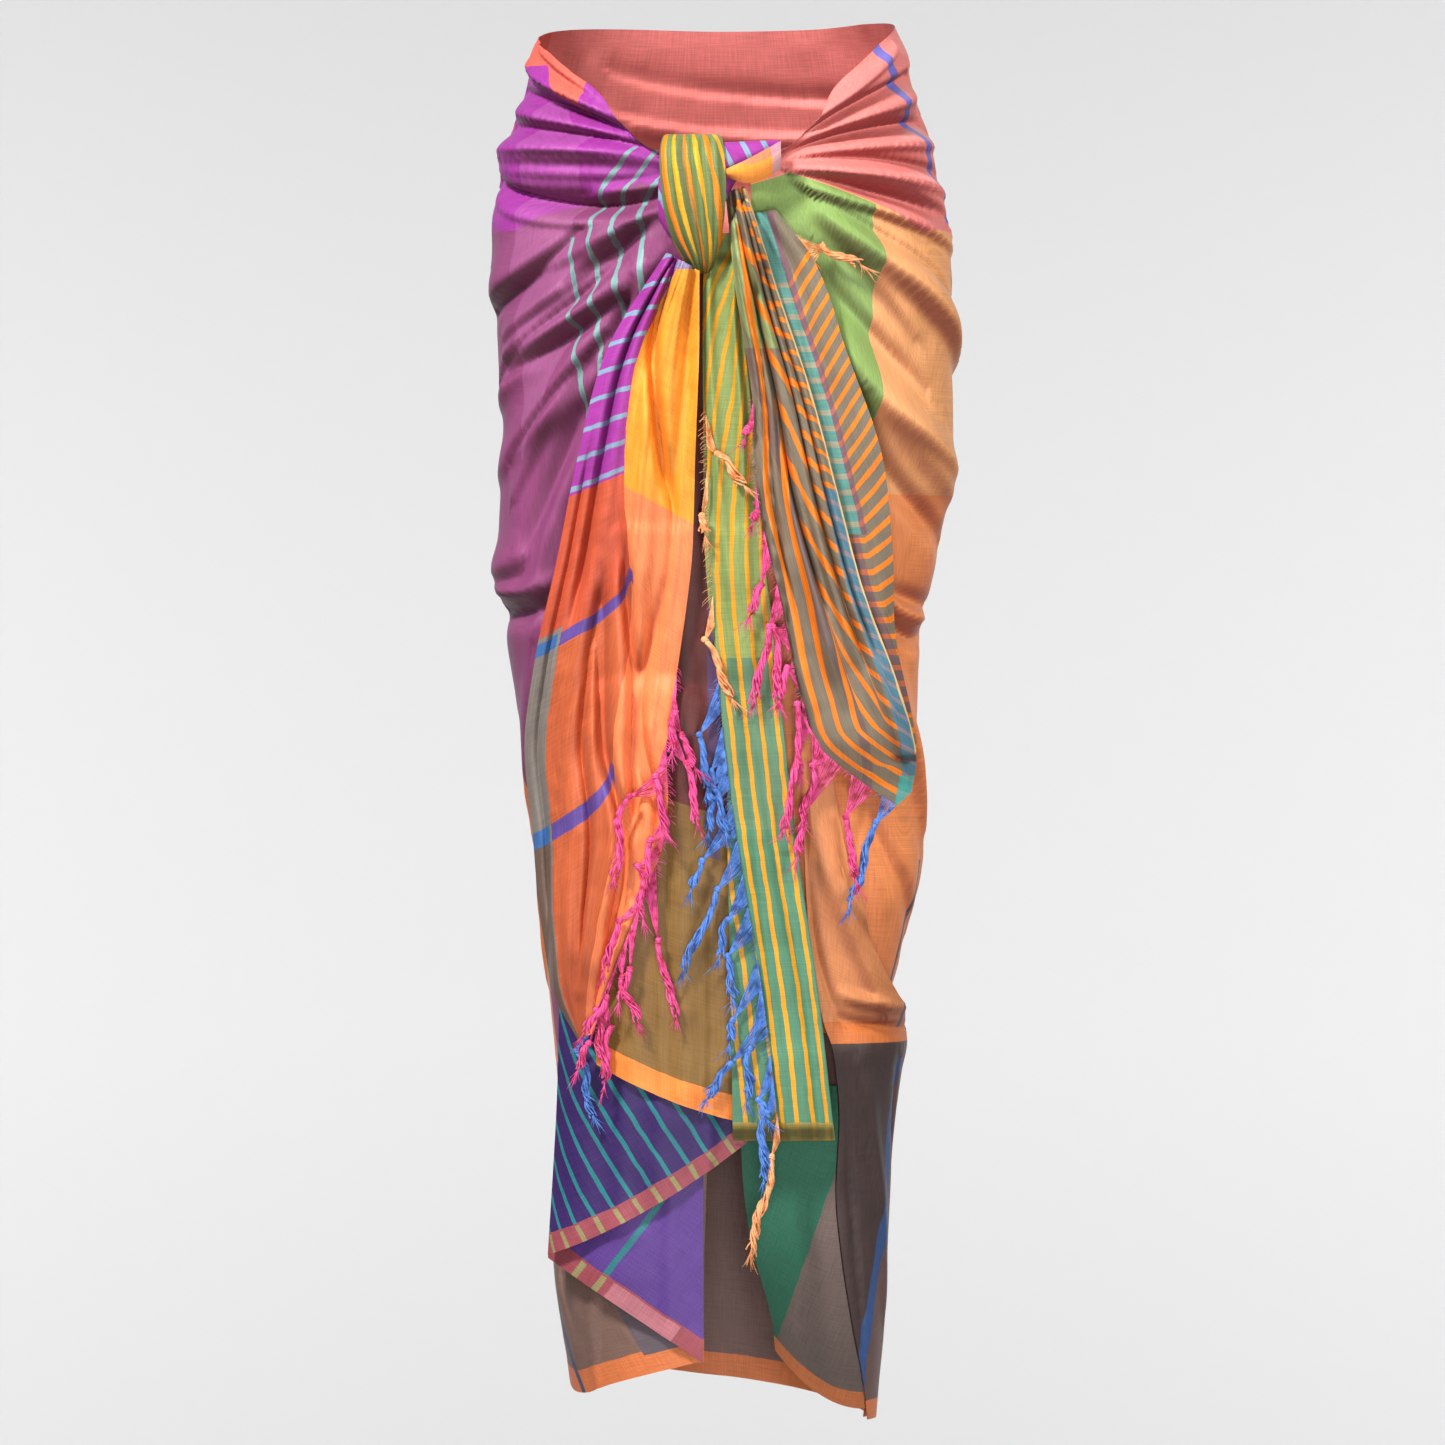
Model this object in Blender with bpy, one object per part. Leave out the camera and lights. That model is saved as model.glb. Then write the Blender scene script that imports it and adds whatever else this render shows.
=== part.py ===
"""A longyi sarong, worn and tied at the front, as a hollow form.

One handwoven cloth goes round the back of the hips. Its two fringed ends come to the front,
are knotted there, and hang in tails and zigzag falls. The front faces -Y, the hem is down,
and the origin is on the middle line of the hips at the height of the knot.
Tables are in millimetres and degrees. A turn is the angle round the body: 0 is the front,
90 is the side at +X and 180 is the back.
"""

import bmesh
import bpy
import numpy as np

MM = 0.001
WALL = 1.3
SEAM = 0.3
LAYER_GAP = 0.6

# The wrapped cloth's form from the waist edge down: height, half width at -X and at +X,
# half depth at the front and at the back
FORM = [
    (125, 135, 130, 94, 101),
    (95, 146, 141, 99, 106),
    (60, 155, 150, 105, 112),
    (30, 164, 160, 110, 117),
    (0, 174, 167, 113, 121),
    (-35, 181, 172, 116, 125),
    (-70, 180, 178, 117, 128),
    (-110, 178, 179, 118, 130),
    (-160, 175, 180, 118, 130),
    (-210, 172, 180, 118, 128),
    (-260, 175, 176, 116, 124),
    (-310, 177, 168, 114, 119),
    (-360, 172, 157, 112, 114),
    (-420, 161, 153, 109, 109),
    (-500, 150, 153, 106, 104),
    (-560, 143, 154, 105, 100),
    (-620, 138, 140, 103, 97),
    (-680, 133, 126, 102, 94),
    (-740, 127, 124, 101, 92),
    (-800, 127, 124, 100, 90),
    (-860, 133, 122, 99, 89),
    (-920, 125, 119, 98, 88),
    (-1000, 112, 112, 96, 86),
]
ROUNDNESS = 2.3

# Where the cloth starts and stops round the body: turn, waist edge height, hem height
EDGES = [
    (-180, 116, -958), (-150, 117, -950), (-120, 114, -950), (-90, 105, -955),
    (-75, 98, -962), (-60, 88, -962), (-45, 72, -955), (-30, 50, -948),
    (-16, 12, -941), (-5, 5, -936), (5, 5, -940), (16, 15, -950),
    (30, 56, -966), (45, 80, -976), (60, 97, -982), (75, 107, -983),
    (90, 114, -983), (120, 119, -978), (150, 117, -968), (180, 116, -958),
]

# Front edges of the two hip wraps: height, the left wrap's turn, the right wrap's turn
FRONT_EDGES = [
    (20, -5, 5),
    (-150, -4, 6),
    (-400, -3, 12),
    (-560, -3, 20),
    (-680, -3, 34),
    (-800, -4, 50),
    (-960, -5, 76),
]
SIDE_SEAM = 100

# Soft ridges and valleys of the wrap, pulled towards the knot. Columns: turn and height of
# the start, the middle and the end, height of the fold, its half width
WRAP_FOLDS = [
    (-8, -70, 0, -35, 8, 0, 8, 42),
    (-10, 4, -34, 44, -92, 92, 8, 13),
    (-10, 0, -36, 6, -100, 12, 9, 13),
    (-10, -20, -33, -26, -95, -14, -7, 12),
    (-11, -34, -40, -72, -98, -104, 9, 17),
    (-11, -62, -34, -118, -88, -186, 8, 17),
    (-12, -96, -44, -192, -98, -246, 7, 18),
    (-56, -300, -76, -316, -112, -312, 6, 14),
    (-50, -334, -76, -346, -112, -352, -6, 12),
    (-40, -360, -66, -430, -96, -540, 6, 20),
    (10, 10, 34, 48, 88, 88, 7, 13),
    (12, -2, 36, 22, 92, 44, -6, 12),
    (12, -8, 42, -14, 100, -58, 10, 15),
    (24, -36, 50, -92, 102, -156, 15, 18),
    (26, -150, 58, -226, 100, -262, 7, 20),
    (44, -332, 66, -340, 106, -350, -6, 13),
    (36, -380, 66, -440, 100, -570, 6, 22),
    (96, 30, 180, -16, 264, 34, 7, 22),
    (98, -100, 178, -180, 262, -90, 8, 28),
    (104, -230, 172, -330, 250, -240, 6, 30),
    (150, -420, 156, -650, 148, -930, 8, 28),
    (214, -400, 208, -640, 216, -930, 8, 28),
    (118, -430, 122, -680, 116, -930, 7, 24),
    (240, -440, 238, -700, 244, -930, 7, 24),
]
GIRTH_PER_DEGREE = 2.6
ROW_SPREAD = 1.5

# The front right drape over the wrap: height, turn of its free edge and of its side edge,
# how far it stands off the form
RIGHT_FALL = [
    (-425, 17, 27, 1),
    (-500, 20, 31, 5),
    (-561, 20, 35, 9),
    (-597, 22, 42, 10),
    (-640, 26, 60, 13),
    (-672, 30, 86, 16),
    (-690, 33, 100, 19),
    (-712, 36, 104, 16),
    (-745, 39, 106, 11),
    (-800, 39, 106, 8),
    (-905, 50, 104, 7),
    (-984, 68, 102, 6),
]

# Flat falls and tails: each section runs from the left edge to the right edge.
# Columns: left x, left z, right x, right z, how far it stands off what lies under it
FALL_PURPLE = [
    (-80, -430, -20, -430, 3),
    (-122, -600, -17, -600, 4),
    (-127, -700, -15, -700, 5),
    (-130, -780, -15, -810, 6),
    (-136, -856, -15, -936, 6),
]
FALL_STRIPED = [
    (-70, -300, 5, -300, 3),
    (-120, -480, 14, -480, 4),
    (-126, -620, 18, -620, 6),
    (-129, -735, 19, -700, 9),
    (-136, -853, 19, -764, 8),
]
FALL_OCHRE = [
    (-48, -86, -4, -86, 3),
    (-80, -250, 10, -250, 5),
    (-98, -450, 14, -450, 7),
    (-103, -600, 16, -600, 9),
    (-98, -703, 15, -748, 11),
]
LEFT_TAIL = [
    (-43, -72, -18, -86, 3),
    (-87, -142, -18, -150, 11),
    (-112, -230, -21, -235, 11),
    (-128, -308, -24, -308, 10),
    (-147, -395, -36, -400, 10),
    (-154, -450, -43, -450, 11),
    (-148, -520, -44, -520, 13),
    (-140, -600, -73, -600, 15),
    (-128, -655, -93, -652, 16),
    (-113, -683, -101, -679, 17),
]
RIGHT_TAIL_TURN = [
    (16, -42, 41, -38, 2),
    (34, -84, 69, -74, 6),
    (50, -150, 97, -150, 8),
    (70, -228, 124, -229, 9),
    (90, -300, 132, -302, 9),
    (106, -372, 135, -372, 9),
    (124, -425, 146, -424, 9),
    (136, -458, 152, -456, 9),
]
RIGHT_TAIL = [
    (3, -24, 17, -20, 2),
    (10, -95, 41, -97, 11),
    (23, -182, 69, -182, 12),
    (27, -261, 90, -261, 11),
    (46, -345, 110, -335, 10),
    (62, -419, 136, -405, 10),
    (76, -456, 148, -445, 10),
    (106, -481, 151, -468, 10),
    (136, -501, 147, -491, 10),
]
# The centre fall is folded double: back layer's left edge, fold, front layer's fringed edge
CENTRE_FALL = [
    (-15, 18, -15, -92),
    (-15, 24, -13, -200),
    (-12, 36, -8, -330),
    (2, 48, 0, -440),
    (4, 60, 14, -545),
    (6, 74, 30, -640),
    (8, 88, 45, -762),
]
# The end of the right drape, turned inwards from its free edge: height on that edge, then
# x, y and z of its own left edge
RIGHT_TURN = [
    (-720, 18, -74, -720),
    (-775, 15, -72, -775),
    (-830, 22, -66, -840),
    (-900, 38, -50, -900),
    (-975, 42, -36, -930),
]
TURN_HEM_BOW = 12

# Folds along a fall or tail, across it from 0 to 1: place at the top, place at the end,
# height of the fold, its half width, start and end along the length
PURPLE_FOLDS = [
    (0.5, 0.35, 4, 0.22, 0.0, 1.2),
]
STRIPED_FOLDS = [
    (0.1, 0.12, 4, 0.09, 0.2, 1.2),
    (0.6, 0.55, 5, 0.2, 0.2, 1.2),
]
OCHRE_FOLDS = [
    (0.3, 0.25, 5, 0.11, 0.0, 1.2),
    (0.6, 0.62, 6, 0.12, 0.0, 1.2),
    (0.85, 0.9, 4, 0.08, 0.0, 1.2),
]
LEFT_TAIL_FOLDS = [
    (0.12, 0.1, 5, 0.1, 0.0, 1.0),
    (0.42, 0.52, -5, 0.08, 0.0, 0.95),
    (0.62, 0.66, 8, 0.11, 0.0, 0.9),
    (0.82, 0.8, -5, 0.07, 0.1, 0.8),
    (0.97, 0.96, 4, 0.09, 0.1, 1.0),
]
RIGHT_TAIL_FOLDS = [
    (0.16, 0.05, 5, 0.1, 0.0, 0.9),
    (0.38, 0.22, -6, 0.08, 0.05, 0.75),
    (0.55, 0.38, 7, 0.1, 0.0, 0.85),
    (0.74, 0.55, -5, 0.08, 0.05, 0.7),
    (0.9, 0.8, 4, 0.1, 0.0, 1.0),
]
TURN_FOLDS = [
    (0.8, 0.7, 4, 0.22, 0.0, 1.0),
]

# The knot's roll, from its left end to its right end: x, y, z, half height, half depth
KNOT_ROLL = [
    (-50, -129, -30, 16, 4.5),
    (-40, -133, -30, 30, 7.5),
    (-22, -137, -30, 42, 11.5),
    (-4, -137, -16, 30, 10.5),
    (12, -134, 0, 15, 7.5),
    (30, -131, 4, 12, 7.5),
    (44, -127, 9, 8, 4.5),
]
# The knot's band from behind the top over the front to behind the bottom:
# x of the left edge, x of the right edge, y, z
KNOT_BAND = [
    (-38, -6, -127, 13),
    (-42, -4, -133, 19),
    (-46, -1, -145, 17),
    (-48, 1, -154, 2),
    (-47, 2, -157, -20),
    (-44, 1, -157, -42),
    (-38, -2, -154, -62),
    (-29, -6, -148.6, -78),
    (-24, -10, -142.6, -86),
    (-23, -12, -137.6, -87),
]
BAND_RIBS = 5
BAND_RIB_HEIGHT = 3.2
BAND_EDGE = 7.5
# The orange tuck over the roll: x, lower z, upper z, y
KNOT_TUCK = [
    (3, -13, -8, -148),
    (19, -18, 0, -146),
    (33, -14, 8, -141),
    (45, -6, 15, -135),
]
FOLD_RADIUS = 2.6
DRAPE_SEAT = 2.2
DRAPE_SEAT_TOP = -780

# Tassels: x and z of the root's middle on the edge, of the knot and of the loose end
PINK_LEFT = [
    (-26, -410, -37, -429, -39, -458),
    (-38, -444, -28, -468, -20, -512),
    (-44, -480, -72, -494, -84, -556),
    (-44, -515, -56, -528, -59, -560),
    (-54, -560, -50, -606, -36, -664),
    (-66, -590, -72, -628, -80, -652),
    (-84, -630, -90, -650, -108, -678),
    (-94, -656, -87, -674, -92, -718),
]
BLUE_LEFT = [
    (-112, -683, -114, -692, -101, -742),
]
PEACH_CENTRE = [
    (-12, -210, -4, -228, 16, -252),
    (-10, -250, -16, -276, -14, -290),
    (-6, -350, -14, -372, 6, -416),
]
BLUE_CENTRE = [
    (-2, -416, -18, -446, -12, -486),
    (0, -450, -9, -474, -10, -500),
    (4, -476, -8, -500, -11, -521),
    (8, -512, -16, -544, -24, -565),
    (12, -540, -4, -566, -30, -628),
    (20, -592, 4, -618, 8, -650),
    (28, -632, 8, -668, 6, -684),
    (36, -668, 6, -702, -12, -728),
    (42, -706, 28, -730, 34, -744),
]
PEACH_TIP = [
    (46, -752, 38, -774, 22, -849),
]
PINK_RIGHT = [
    (25, -200, 20, -208, 18, -214),
    (26, -262, 26, -274, 24, -280),
    (44, -340, 36, -362, 24, -420),
    (58, -400, 50, -394, 44, -418),
    (64, -432, 60, -456, 48, -520),
    (84, -464, 64, -506, 58, -538),
    (108, -484, 96, -510, 104, -560),
]
BLUE_RIGHT = [
    (132, -500, 120, -514, 100, -580),
]
PEACH_HIP = [
    (66, -68, 78, -66, 107, -80),
]

TASSEL_KNOT = 2.6
TASSEL_LOCK = 2.0
TASSEL_ROOT = 7.0
STRIP_WIDTH = 2.0
STRIP_DEPTH = 1.4
STRIP_GAP = 0.8

COLOURS = {
    "plum silk cotton": (0.26, 0.10, 0.20, 1.0),
    "mauve silk cotton": (0.33, 0.12, 0.27, 1.0),
    "coral silk cotton": (0.85, 0.27, 0.17, 1.0),
    "orange silk cotton": (0.75, 0.25, 0.08, 1.0),
    "teal silk cotton": (0.04, 0.16, 0.12, 1.0),
    "violet silk cotton": (0.10, 0.03, 0.21, 1.0),
    "ochre silk cotton": (0.32, 0.16, 0.04, 1.0),
    "green striped silk cotton": (0.14, 0.28, 0.16, 1.0),
    "olive striped silk cotton": (0.30, 0.27, 0.12, 1.0),
    "magenta silk cotton": (0.45, 0.08, 0.38, 1.0),
    "pink thread": (0.80, 0.08, 0.30, 1.0),
    "blue thread": (0.12, 0.24, 0.62, 1.0),
    "peach thread": (0.90, 0.42, 0.20, 1.0),
}


def columns(table):
    """The named columns of a table as arrays."""
    return np.array(table, float).T


def smooth(stations, values, at):
    """Values on a smooth curve through the stations: a cubic between each two, whose slope
    at a station comes from its neighbours."""
    stations = np.asarray(stations, float)
    values = np.asarray(values, float)
    slopes = np.gradient(values, stations)
    at = np.clip(at, stations[0], stations[-1])
    cell = np.clip(np.searchsorted(stations, at) - 1, 0, len(stations) - 2)
    span = stations[cell + 1] - stations[cell]
    f = (at - stations[cell]) / span
    start = (1 + 2 * f) * (1 - f) ** 2 * values[cell]
    end = (3 - 2 * f) * f ** 2 * values[cell + 1]
    start_slope = f * (1 - f) ** 2 * slopes[cell]
    end_slope = f ** 2 * (1 - f) * slopes[cell + 1]
    return start + end + span * (start_slope - end_slope)


def on_form(turn, height, out=0.0):
    """Points on the wrapped form: at each height a rounded oval, its four quarters with
    their own half widths and depths, moved out by a distance."""
    z, left, right, front, back = columns(FORM)
    sine = np.sin(np.radians(turn))
    cosine = np.cos(np.radians(turn))
    wide = np.where(sine < 0, smooth(-z, left, -height), smooth(-z, right, -height)) + out
    deep = np.where(cosine > 0, smooth(-z, front, -height), smooth(-z, back, -height)) + out
    power = 2 / ROUNDNESS
    x = np.sign(sine) * np.abs(sine) ** power * wide
    y = -np.sign(cosine) * np.abs(cosine) ** power * deep
    return np.stack([x, y, height + 0 * x], axis=-1)


def form_front(x, height):
    """Depth y of a hanging cloth that passes in front of the form, fuller at its sides."""
    z, left, right, front, back = columns(FORM)
    wide = np.where(x < 0, smooth(-z, left, -height), smooth(-z, right, -height)) * 1.14
    share = np.clip(np.abs(x) / wide, 0, 0.93)
    return -smooth(-z, front, -height) * (1 - share ** 2.6) ** (1 / 2.6)


def fold_relief(turn, height, table):
    """Height of the folds at places on the wrap: each fold is a soft ridge along a bent
    line in the unrolled cloth, strongest in its middle."""
    relief = 0 * turn
    across = turn * GIRTH_PER_DEGREE
    step = np.linspace(0, 1, 25)
    for t0, z0, t1, z1, t2, z2, fold_height, half_width in table:
        bend_t = 2 * t1 - (t0 + t2) / 2
        bend_z = 2 * z1 - (z0 + z2) / 2
        line_t = ((1 - step) ** 2 * t0 + 2 * step * (1 - step) * bend_t + step ** 2 * t2)
        line_z = (1 - step) ** 2 * z0 + 2 * step * (1 - step) * bend_z + step ** 2 * z2
        away = (across[..., None] - line_t * GIRTH_PER_DEGREE) ** 2
        away = away + (height[..., None] - line_z) ** 2
        nearest = away.argmin(axis=-1)
        fade = np.sin(np.pi * (0.12 + 0.76 * step[nearest]))
        relief = relief + fold_height * fade * np.exp(-away.min(axis=-1) / half_width ** 2)
    return relief


def outward(grid):
    """Unit normals of a grid of points, from its two directions."""
    down = np.gradient(grid, axis=0)
    along = np.gradient(grid, axis=1)
    normal = np.cross(down, along)
    return normal / np.linalg.norm(normal, axis=-1, keepdims=True)


def wall(name, grid, colour, thickness=WALL):
    """A closed cloth wall: the grid is its inner face, and the outer face lies one
    thickness along the normals. Columns run so that the normals point outwards."""
    rows, cols = grid.shape[:2]
    outer = grid + thickness * outward(grid)
    points = np.concatenate([grid.reshape(-1, 3), outer.reshape(-1, 3)])
    index = np.arange(rows * cols).reshape(rows, cols)
    lift = rows * cols
    quads = np.stack([index[:-1, :-1], index[:-1, 1:], index[1:, 1:], index[1:, :-1]], -1)
    quads = quads.reshape(-1, 4)
    rim = np.concatenate([index[0, :-1], index[:-1, -1], index[-1, :0:-1], index[:0:-1, 0]])
    rim_next = np.roll(rim, -1)
    sides = np.stack([rim, rim + lift, rim_next + lift, rim_next], -1)
    faces = np.concatenate([quads[:, ::-1] + lift, quads, sides])
    return add_solid(name, points, faces.tolist(), colour)


def add_solid(name, points, faces, colour):
    """A closed solid from points in millimetres and faces, with its material."""
    mesh = bpy.data.meshes.new(name)
    mesh.from_pydata((np.asarray(points) * MM).tolist(), [], faces)
    mesh.materials.append(cloth_material(colour))
    mesh.shade_smooth()
    solid = bpy.data.objects.new(name, mesh)
    bpy.context.scene.collection.objects.link(solid)
    return solid


def cloth_material(colour):
    """Plain material in the piece's main colour."""
    material = bpy.data.materials.get(colour) or bpy.data.materials.new(colour)
    material.use_nodes = True
    shader = material.node_tree.nodes["Principled BSDF"]
    shader.inputs["Base Color"].default_value = COLOURS[colour]
    shader.inputs["Roughness"].default_value = 0.6
    shader.inputs["Metallic"].default_value = 0.0
    return material


class Cover:
    """The front of all the cloth laid so far, as a depth for each small cell of x and z."""

    CELL = 3.0
    LOW = np.array([-210.0, -1020.0])
    SIZE = (140, 390)

    def __init__(self):
        self.depth = np.full(self.SIZE, 1000.0)

    def cells(self, x, z):
        """Column and row of the cell that holds each place."""
        x = np.asarray(x, float)
        z = np.asarray(z, float)
        column = np.clip(((x - self.LOW[0]) / self.CELL).astype(int), 0, self.SIZE[0] - 1)
        row = np.clip(((z - self.LOW[1]) / self.CELL).astype(int), 0, self.SIZE[1] - 1)
        return column, row

    def lay(self, grid):
        """Adds a laid surface, filled in between its points."""
        share = np.linspace(0, 1, 12)
        a = grid[:-1, :-1, None, None]
        b = grid[:-1, 1:, None, None]
        c = grid[1:, :-1, None, None]
        d = grid[1:, 1:, None, None]
        u = share[None, None, :, None, None]
        v = share[None, None, None, :, None]
        points = (a * (1 - u) + b * u) * (1 - v) + (c * (1 - u) + d * u) * v
        points = points.reshape(-1, 3)
        column, row = self.cells(points[:, 0], points[:, 2])
        np.minimum.at(self.depth, (column, row), points[:, 1])

    def front(self, x, z, reach_x, reach_z):
        """The frontmost depth within a reach of each place."""
        wide = int(np.ceil(reach_x / self.CELL))
        tall = int(np.ceil(reach_z / self.CELL))
        near = self.depth
        near = np.min([np.roll(near, k, axis=0) for k in range(-wide, wide + 1)], axis=0)
        near = np.min([np.roll(near, k, axis=1) for k in range(-tall, tall + 1)], axis=0)
        column, row = self.cells(x, z)
        return near[column, row]


def ride_over(cover, grid, reach_x, reach_z):
    """Moves a grid's points forward where they would lie in or behind the cloth under it."""
    limit = cover.front(grid[..., 0], grid[..., 2], reach_x, reach_z) - LAYER_GAP
    grid[..., 1] = np.minimum(grid[..., 1], limit)
    return grid


def wrap_grid(turn_from, turn_to, top, hem, out, rows, cols):
    """Points of a stretch of the wrap, from its waist edge to its hem, its front edge
    following a turn that changes with height, with the folds added outwards."""
    down = np.linspace(0, 1, rows)[:, None] ** ROW_SPREAD
    across = np.linspace(0, 1, cols)[None, :]
    middle = top(0 * across + (turn_from(0) + turn_to(0)) / 2)
    height = middle + (hem(0) - middle) * down
    for _ in range(3):
        turn = turn_from(height) + (turn_to(height) - turn_from(height)) * across
        height = top(turn) + (hem(turn) - top(turn)) * down
    relief = fold_relief(turn, height, WRAP_FOLDS)
    return on_form(turn, height, out + relief)


def waist_edge(turn):
    """Height of the waist edge at a turn."""
    t, top, hem = columns(EDGES)
    return smooth(t, top, (turn + 180) % 360 - 180)


def hem_edge(turn):
    """Height of the hem at a turn."""
    t, top, hem = columns(EDGES)
    return smooth(t, hem, (turn + 180) % 360 - 180)


def front_edge(side):
    """Turn of one hip wrap's front edge as a function of height."""
    z, left, right = columns(FRONT_EDGES)
    values = left if side < 0 else right
    return lambda height: smooth(-z, values, -np.asarray(height, float))


def straight(value):
    """A turn that stays the same at every height."""
    return lambda height: value + 0.0 * np.asarray(height, float)


def fall_grid(sections, folds, rows, cols, hem_bow=0.0):
    """Points of a flat fall or tail: sections from edge to edge, in front of the form, with
    folds that run down its length and a hem that bows down in its middle."""
    lx, lz, rx, rz, off = columns(sections)
    middle = np.stack([(lx + rx) / 2, (lz + rz) / 2], -1)
    length = np.concatenate([[0], np.cumsum(np.linalg.norm(np.diff(middle, axis=0), axis=1))])
    length = length / length[-1]
    down = np.linspace(0, 1, rows)[:, None]
    across = np.linspace(0, 1, cols)[None, :]
    x = smooth(length, lx, down) * (1 - across) + smooth(length, rx, down) * across
    z = smooth(length, lz, down) * (1 - across) + smooth(length, rz, down) * across
    z = z - hem_bow * 4 * across * (1 - across) * down ** 4
    relief = smooth(length, off, down) + 0 * across
    for at_top, at_end, fold_height, half_width, start, end in folds:
        place = at_top + (at_end - at_top) * down
        fade = np.clip((down - start) / 0.12, 0, 1) * np.clip((end - down) / 0.12, 0, 1)
        relief = relief + fold_height * fade * np.exp(-((across - place) / half_width) ** 2)
    y = form_front(x, z) - relief
    return np.stack([x, y, z], -1)


def drape_grid(cover, sections, rows, cols):
    """Points of the right drape: it lies off the form between its free edge and its side
    edge, and in front it rides over the wrap."""
    z, free, side, off = columns(sections)
    height = np.linspace(z[0], z[-1], rows)[:, None]
    across = np.linspace(0, 1, cols)[None, :]
    start = smooth(-z, free, -height)
    turn = start + (smooth(-z, side, -height) - start) * across
    off = smooth(-z, off, -height)
    seated = across ** 6 * np.clip((DRAPE_SEAT_TOP - height) / 40, 0, 1)
    grid = on_form(turn, height + 0 * turn, off + (DRAPE_SEAT - off) * seated)
    ridden = ride_over(cover, grid.copy(), 8, 12)
    in_front = np.clip((60 - turn) / 20, 0, 1)[..., None]
    return grid + (ridden - grid) * in_front


def turned_grid(free_edge, rows, cols):
    """Points of the drape's end, turned inwards: from just inside the drape's free edge
    to its own left edge, its hem bowed down."""
    fold_z, left_x, left_y, left_z = columns(RIGHT_TURN)
    station = np.linspace(0, 1, len(fold_z))
    down = np.linspace(0, 1, rows)[:, None]
    across = np.linspace(0, 1, cols)[None, :]
    right_z = smooth(station, fold_z, down)
    right_x = smooth(-free_edge[:, 2], free_edge[:, 0], -right_z) - SEAM
    right_y = smooth(-free_edge[:, 2], free_edge[:, 1], -right_z) + WALL + LAYER_GAP
    x = smooth(station, left_x, down) * (1 - across) + right_x * across
    y = smooth(station, left_y, down) * (1 - across) + right_y * across
    z = smooth(station, left_z, down) * (1 - across) + right_z * across
    z = z - TURN_HEM_BOW * 4 * across * (1 - across) * down ** 4
    return np.stack([x, y, z], -1)


def double_grid(cover, sections, rows):
    """Points of the fall that is folded double: its back layer from the left edge to the
    fold, round the fold, and its front layer back to the fringed edge."""
    back_x, fold_x, front_x, z = columns(sections)
    height = np.linspace(z[0], z[-1], rows)[:, None]
    back = smooth(-z, back_x, -height)
    fold = smooth(-z, fold_x, -height)
    front = smooth(-z, front_x, -height)
    behind = back + (fold - FOLD_RADIUS - back) * np.linspace(0, 1, 6)[None, :]
    before = fold - FOLD_RADIUS + (front - fold + FOLD_RADIUS) * np.linspace(0, 1, 6)[None, :]
    bend = np.radians([-60, -20, 20, 60])[None, :]
    round_x = fold - FOLD_RADIUS + FOLD_RADIUS * np.cos(bend)
    x = np.concatenate([behind, round_x, before], axis=1)
    height = height + 0 * x
    round_y = FOLD_RADIUS * (1 + np.sin(bend)) + 0 * round_x
    apart = np.concatenate([0 * behind, round_y, 2 * FOLD_RADIUS + 0 * before], axis=1)
    floor = np.minimum(form_front(x, height) - 2, cover.front(x, height, 12, 20) - LAYER_GAP)
    floor = floor.min(axis=1, keepdims=True)
    return np.stack([x, floor - apart, height], -1)


def band_grid(rows, cols):
    """Points of the knot's band: from behind the top over the front to behind the bottom,
    ribbed along its length, its edges bent back."""
    left, right, depth, z = columns(KNOT_BAND)
    station = np.linspace(0, 1, len(z))
    down = np.linspace(0, 1, rows)[:, None]
    across = np.linspace(0, 1, cols)[None, :]
    x = smooth(station, left, down) * (1 - across) + smooth(station, right, down) * across
    edge = np.abs(2 * across - 1) ** 3
    fade = np.sin(np.pi * np.clip(down, 0.06, 0.94)) ** 0.5
    ribs = BAND_RIB_HEIGHT * fade * np.abs(np.sin(np.pi * BAND_RIBS * across))
    y = smooth(station, depth, down) - ribs + BAND_EDGE * edge * fade
    return np.stack([x, y, smooth(station, z, down) + 0 * x], -1)


def tube_rings(path, half_heights, half_depths, sides):
    """Rings of an oval bar along a path that runs mainly across the body."""
    angle = np.linspace(0, 2 * np.pi, sides, endpoint=False)
    ring_y = np.cos(angle)[None, :] * half_depths[:, None]
    ring_z = np.sin(angle)[None, :] * half_heights[:, None]
    x = path[:, 0][:, None] + 0 * ring_y
    return np.stack([x, path[:, 1][:, None] + ring_y, path[:, 2][:, None] + ring_z], -1)


def bar(name, rings, colour):
    """A closed bar from rings, with a flat cap on each end."""
    count, sides = rings.shape[:2]
    index = np.arange(count * sides).reshape(count, sides)
    ahead = np.roll(index, -1, axis=1)
    quads = np.stack([index[:-1], ahead[:-1], ahead[1:], index[1:]], -1).reshape(-1, 4)
    faces = quads.tolist() + [index[0, ::-1].tolist(), index[-1].tolist()]
    return add_solid(name, rings.reshape(-1, 3), faces, colour)


def edge_place(edge, at):
    """Points on an edge's line at distances along it."""
    length = np.concatenate([[0], np.cumsum(np.linalg.norm(np.diff(edge, axis=0), axis=1))])
    return np.stack([np.interp(at, length, edge[:, k]) for k in range(3)], -1)


def edge_distance(edge, x, z):
    """Distance along an edge of its place nearest to x and z."""
    length = np.linalg.norm(np.diff(edge, axis=0), axis=1).sum()
    at = np.linspace(0, length, 600)
    line = edge_place(edge, at)
    return at[np.hypot(line[:, 0] - x, line[:, 2] - z).argmin()]


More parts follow.
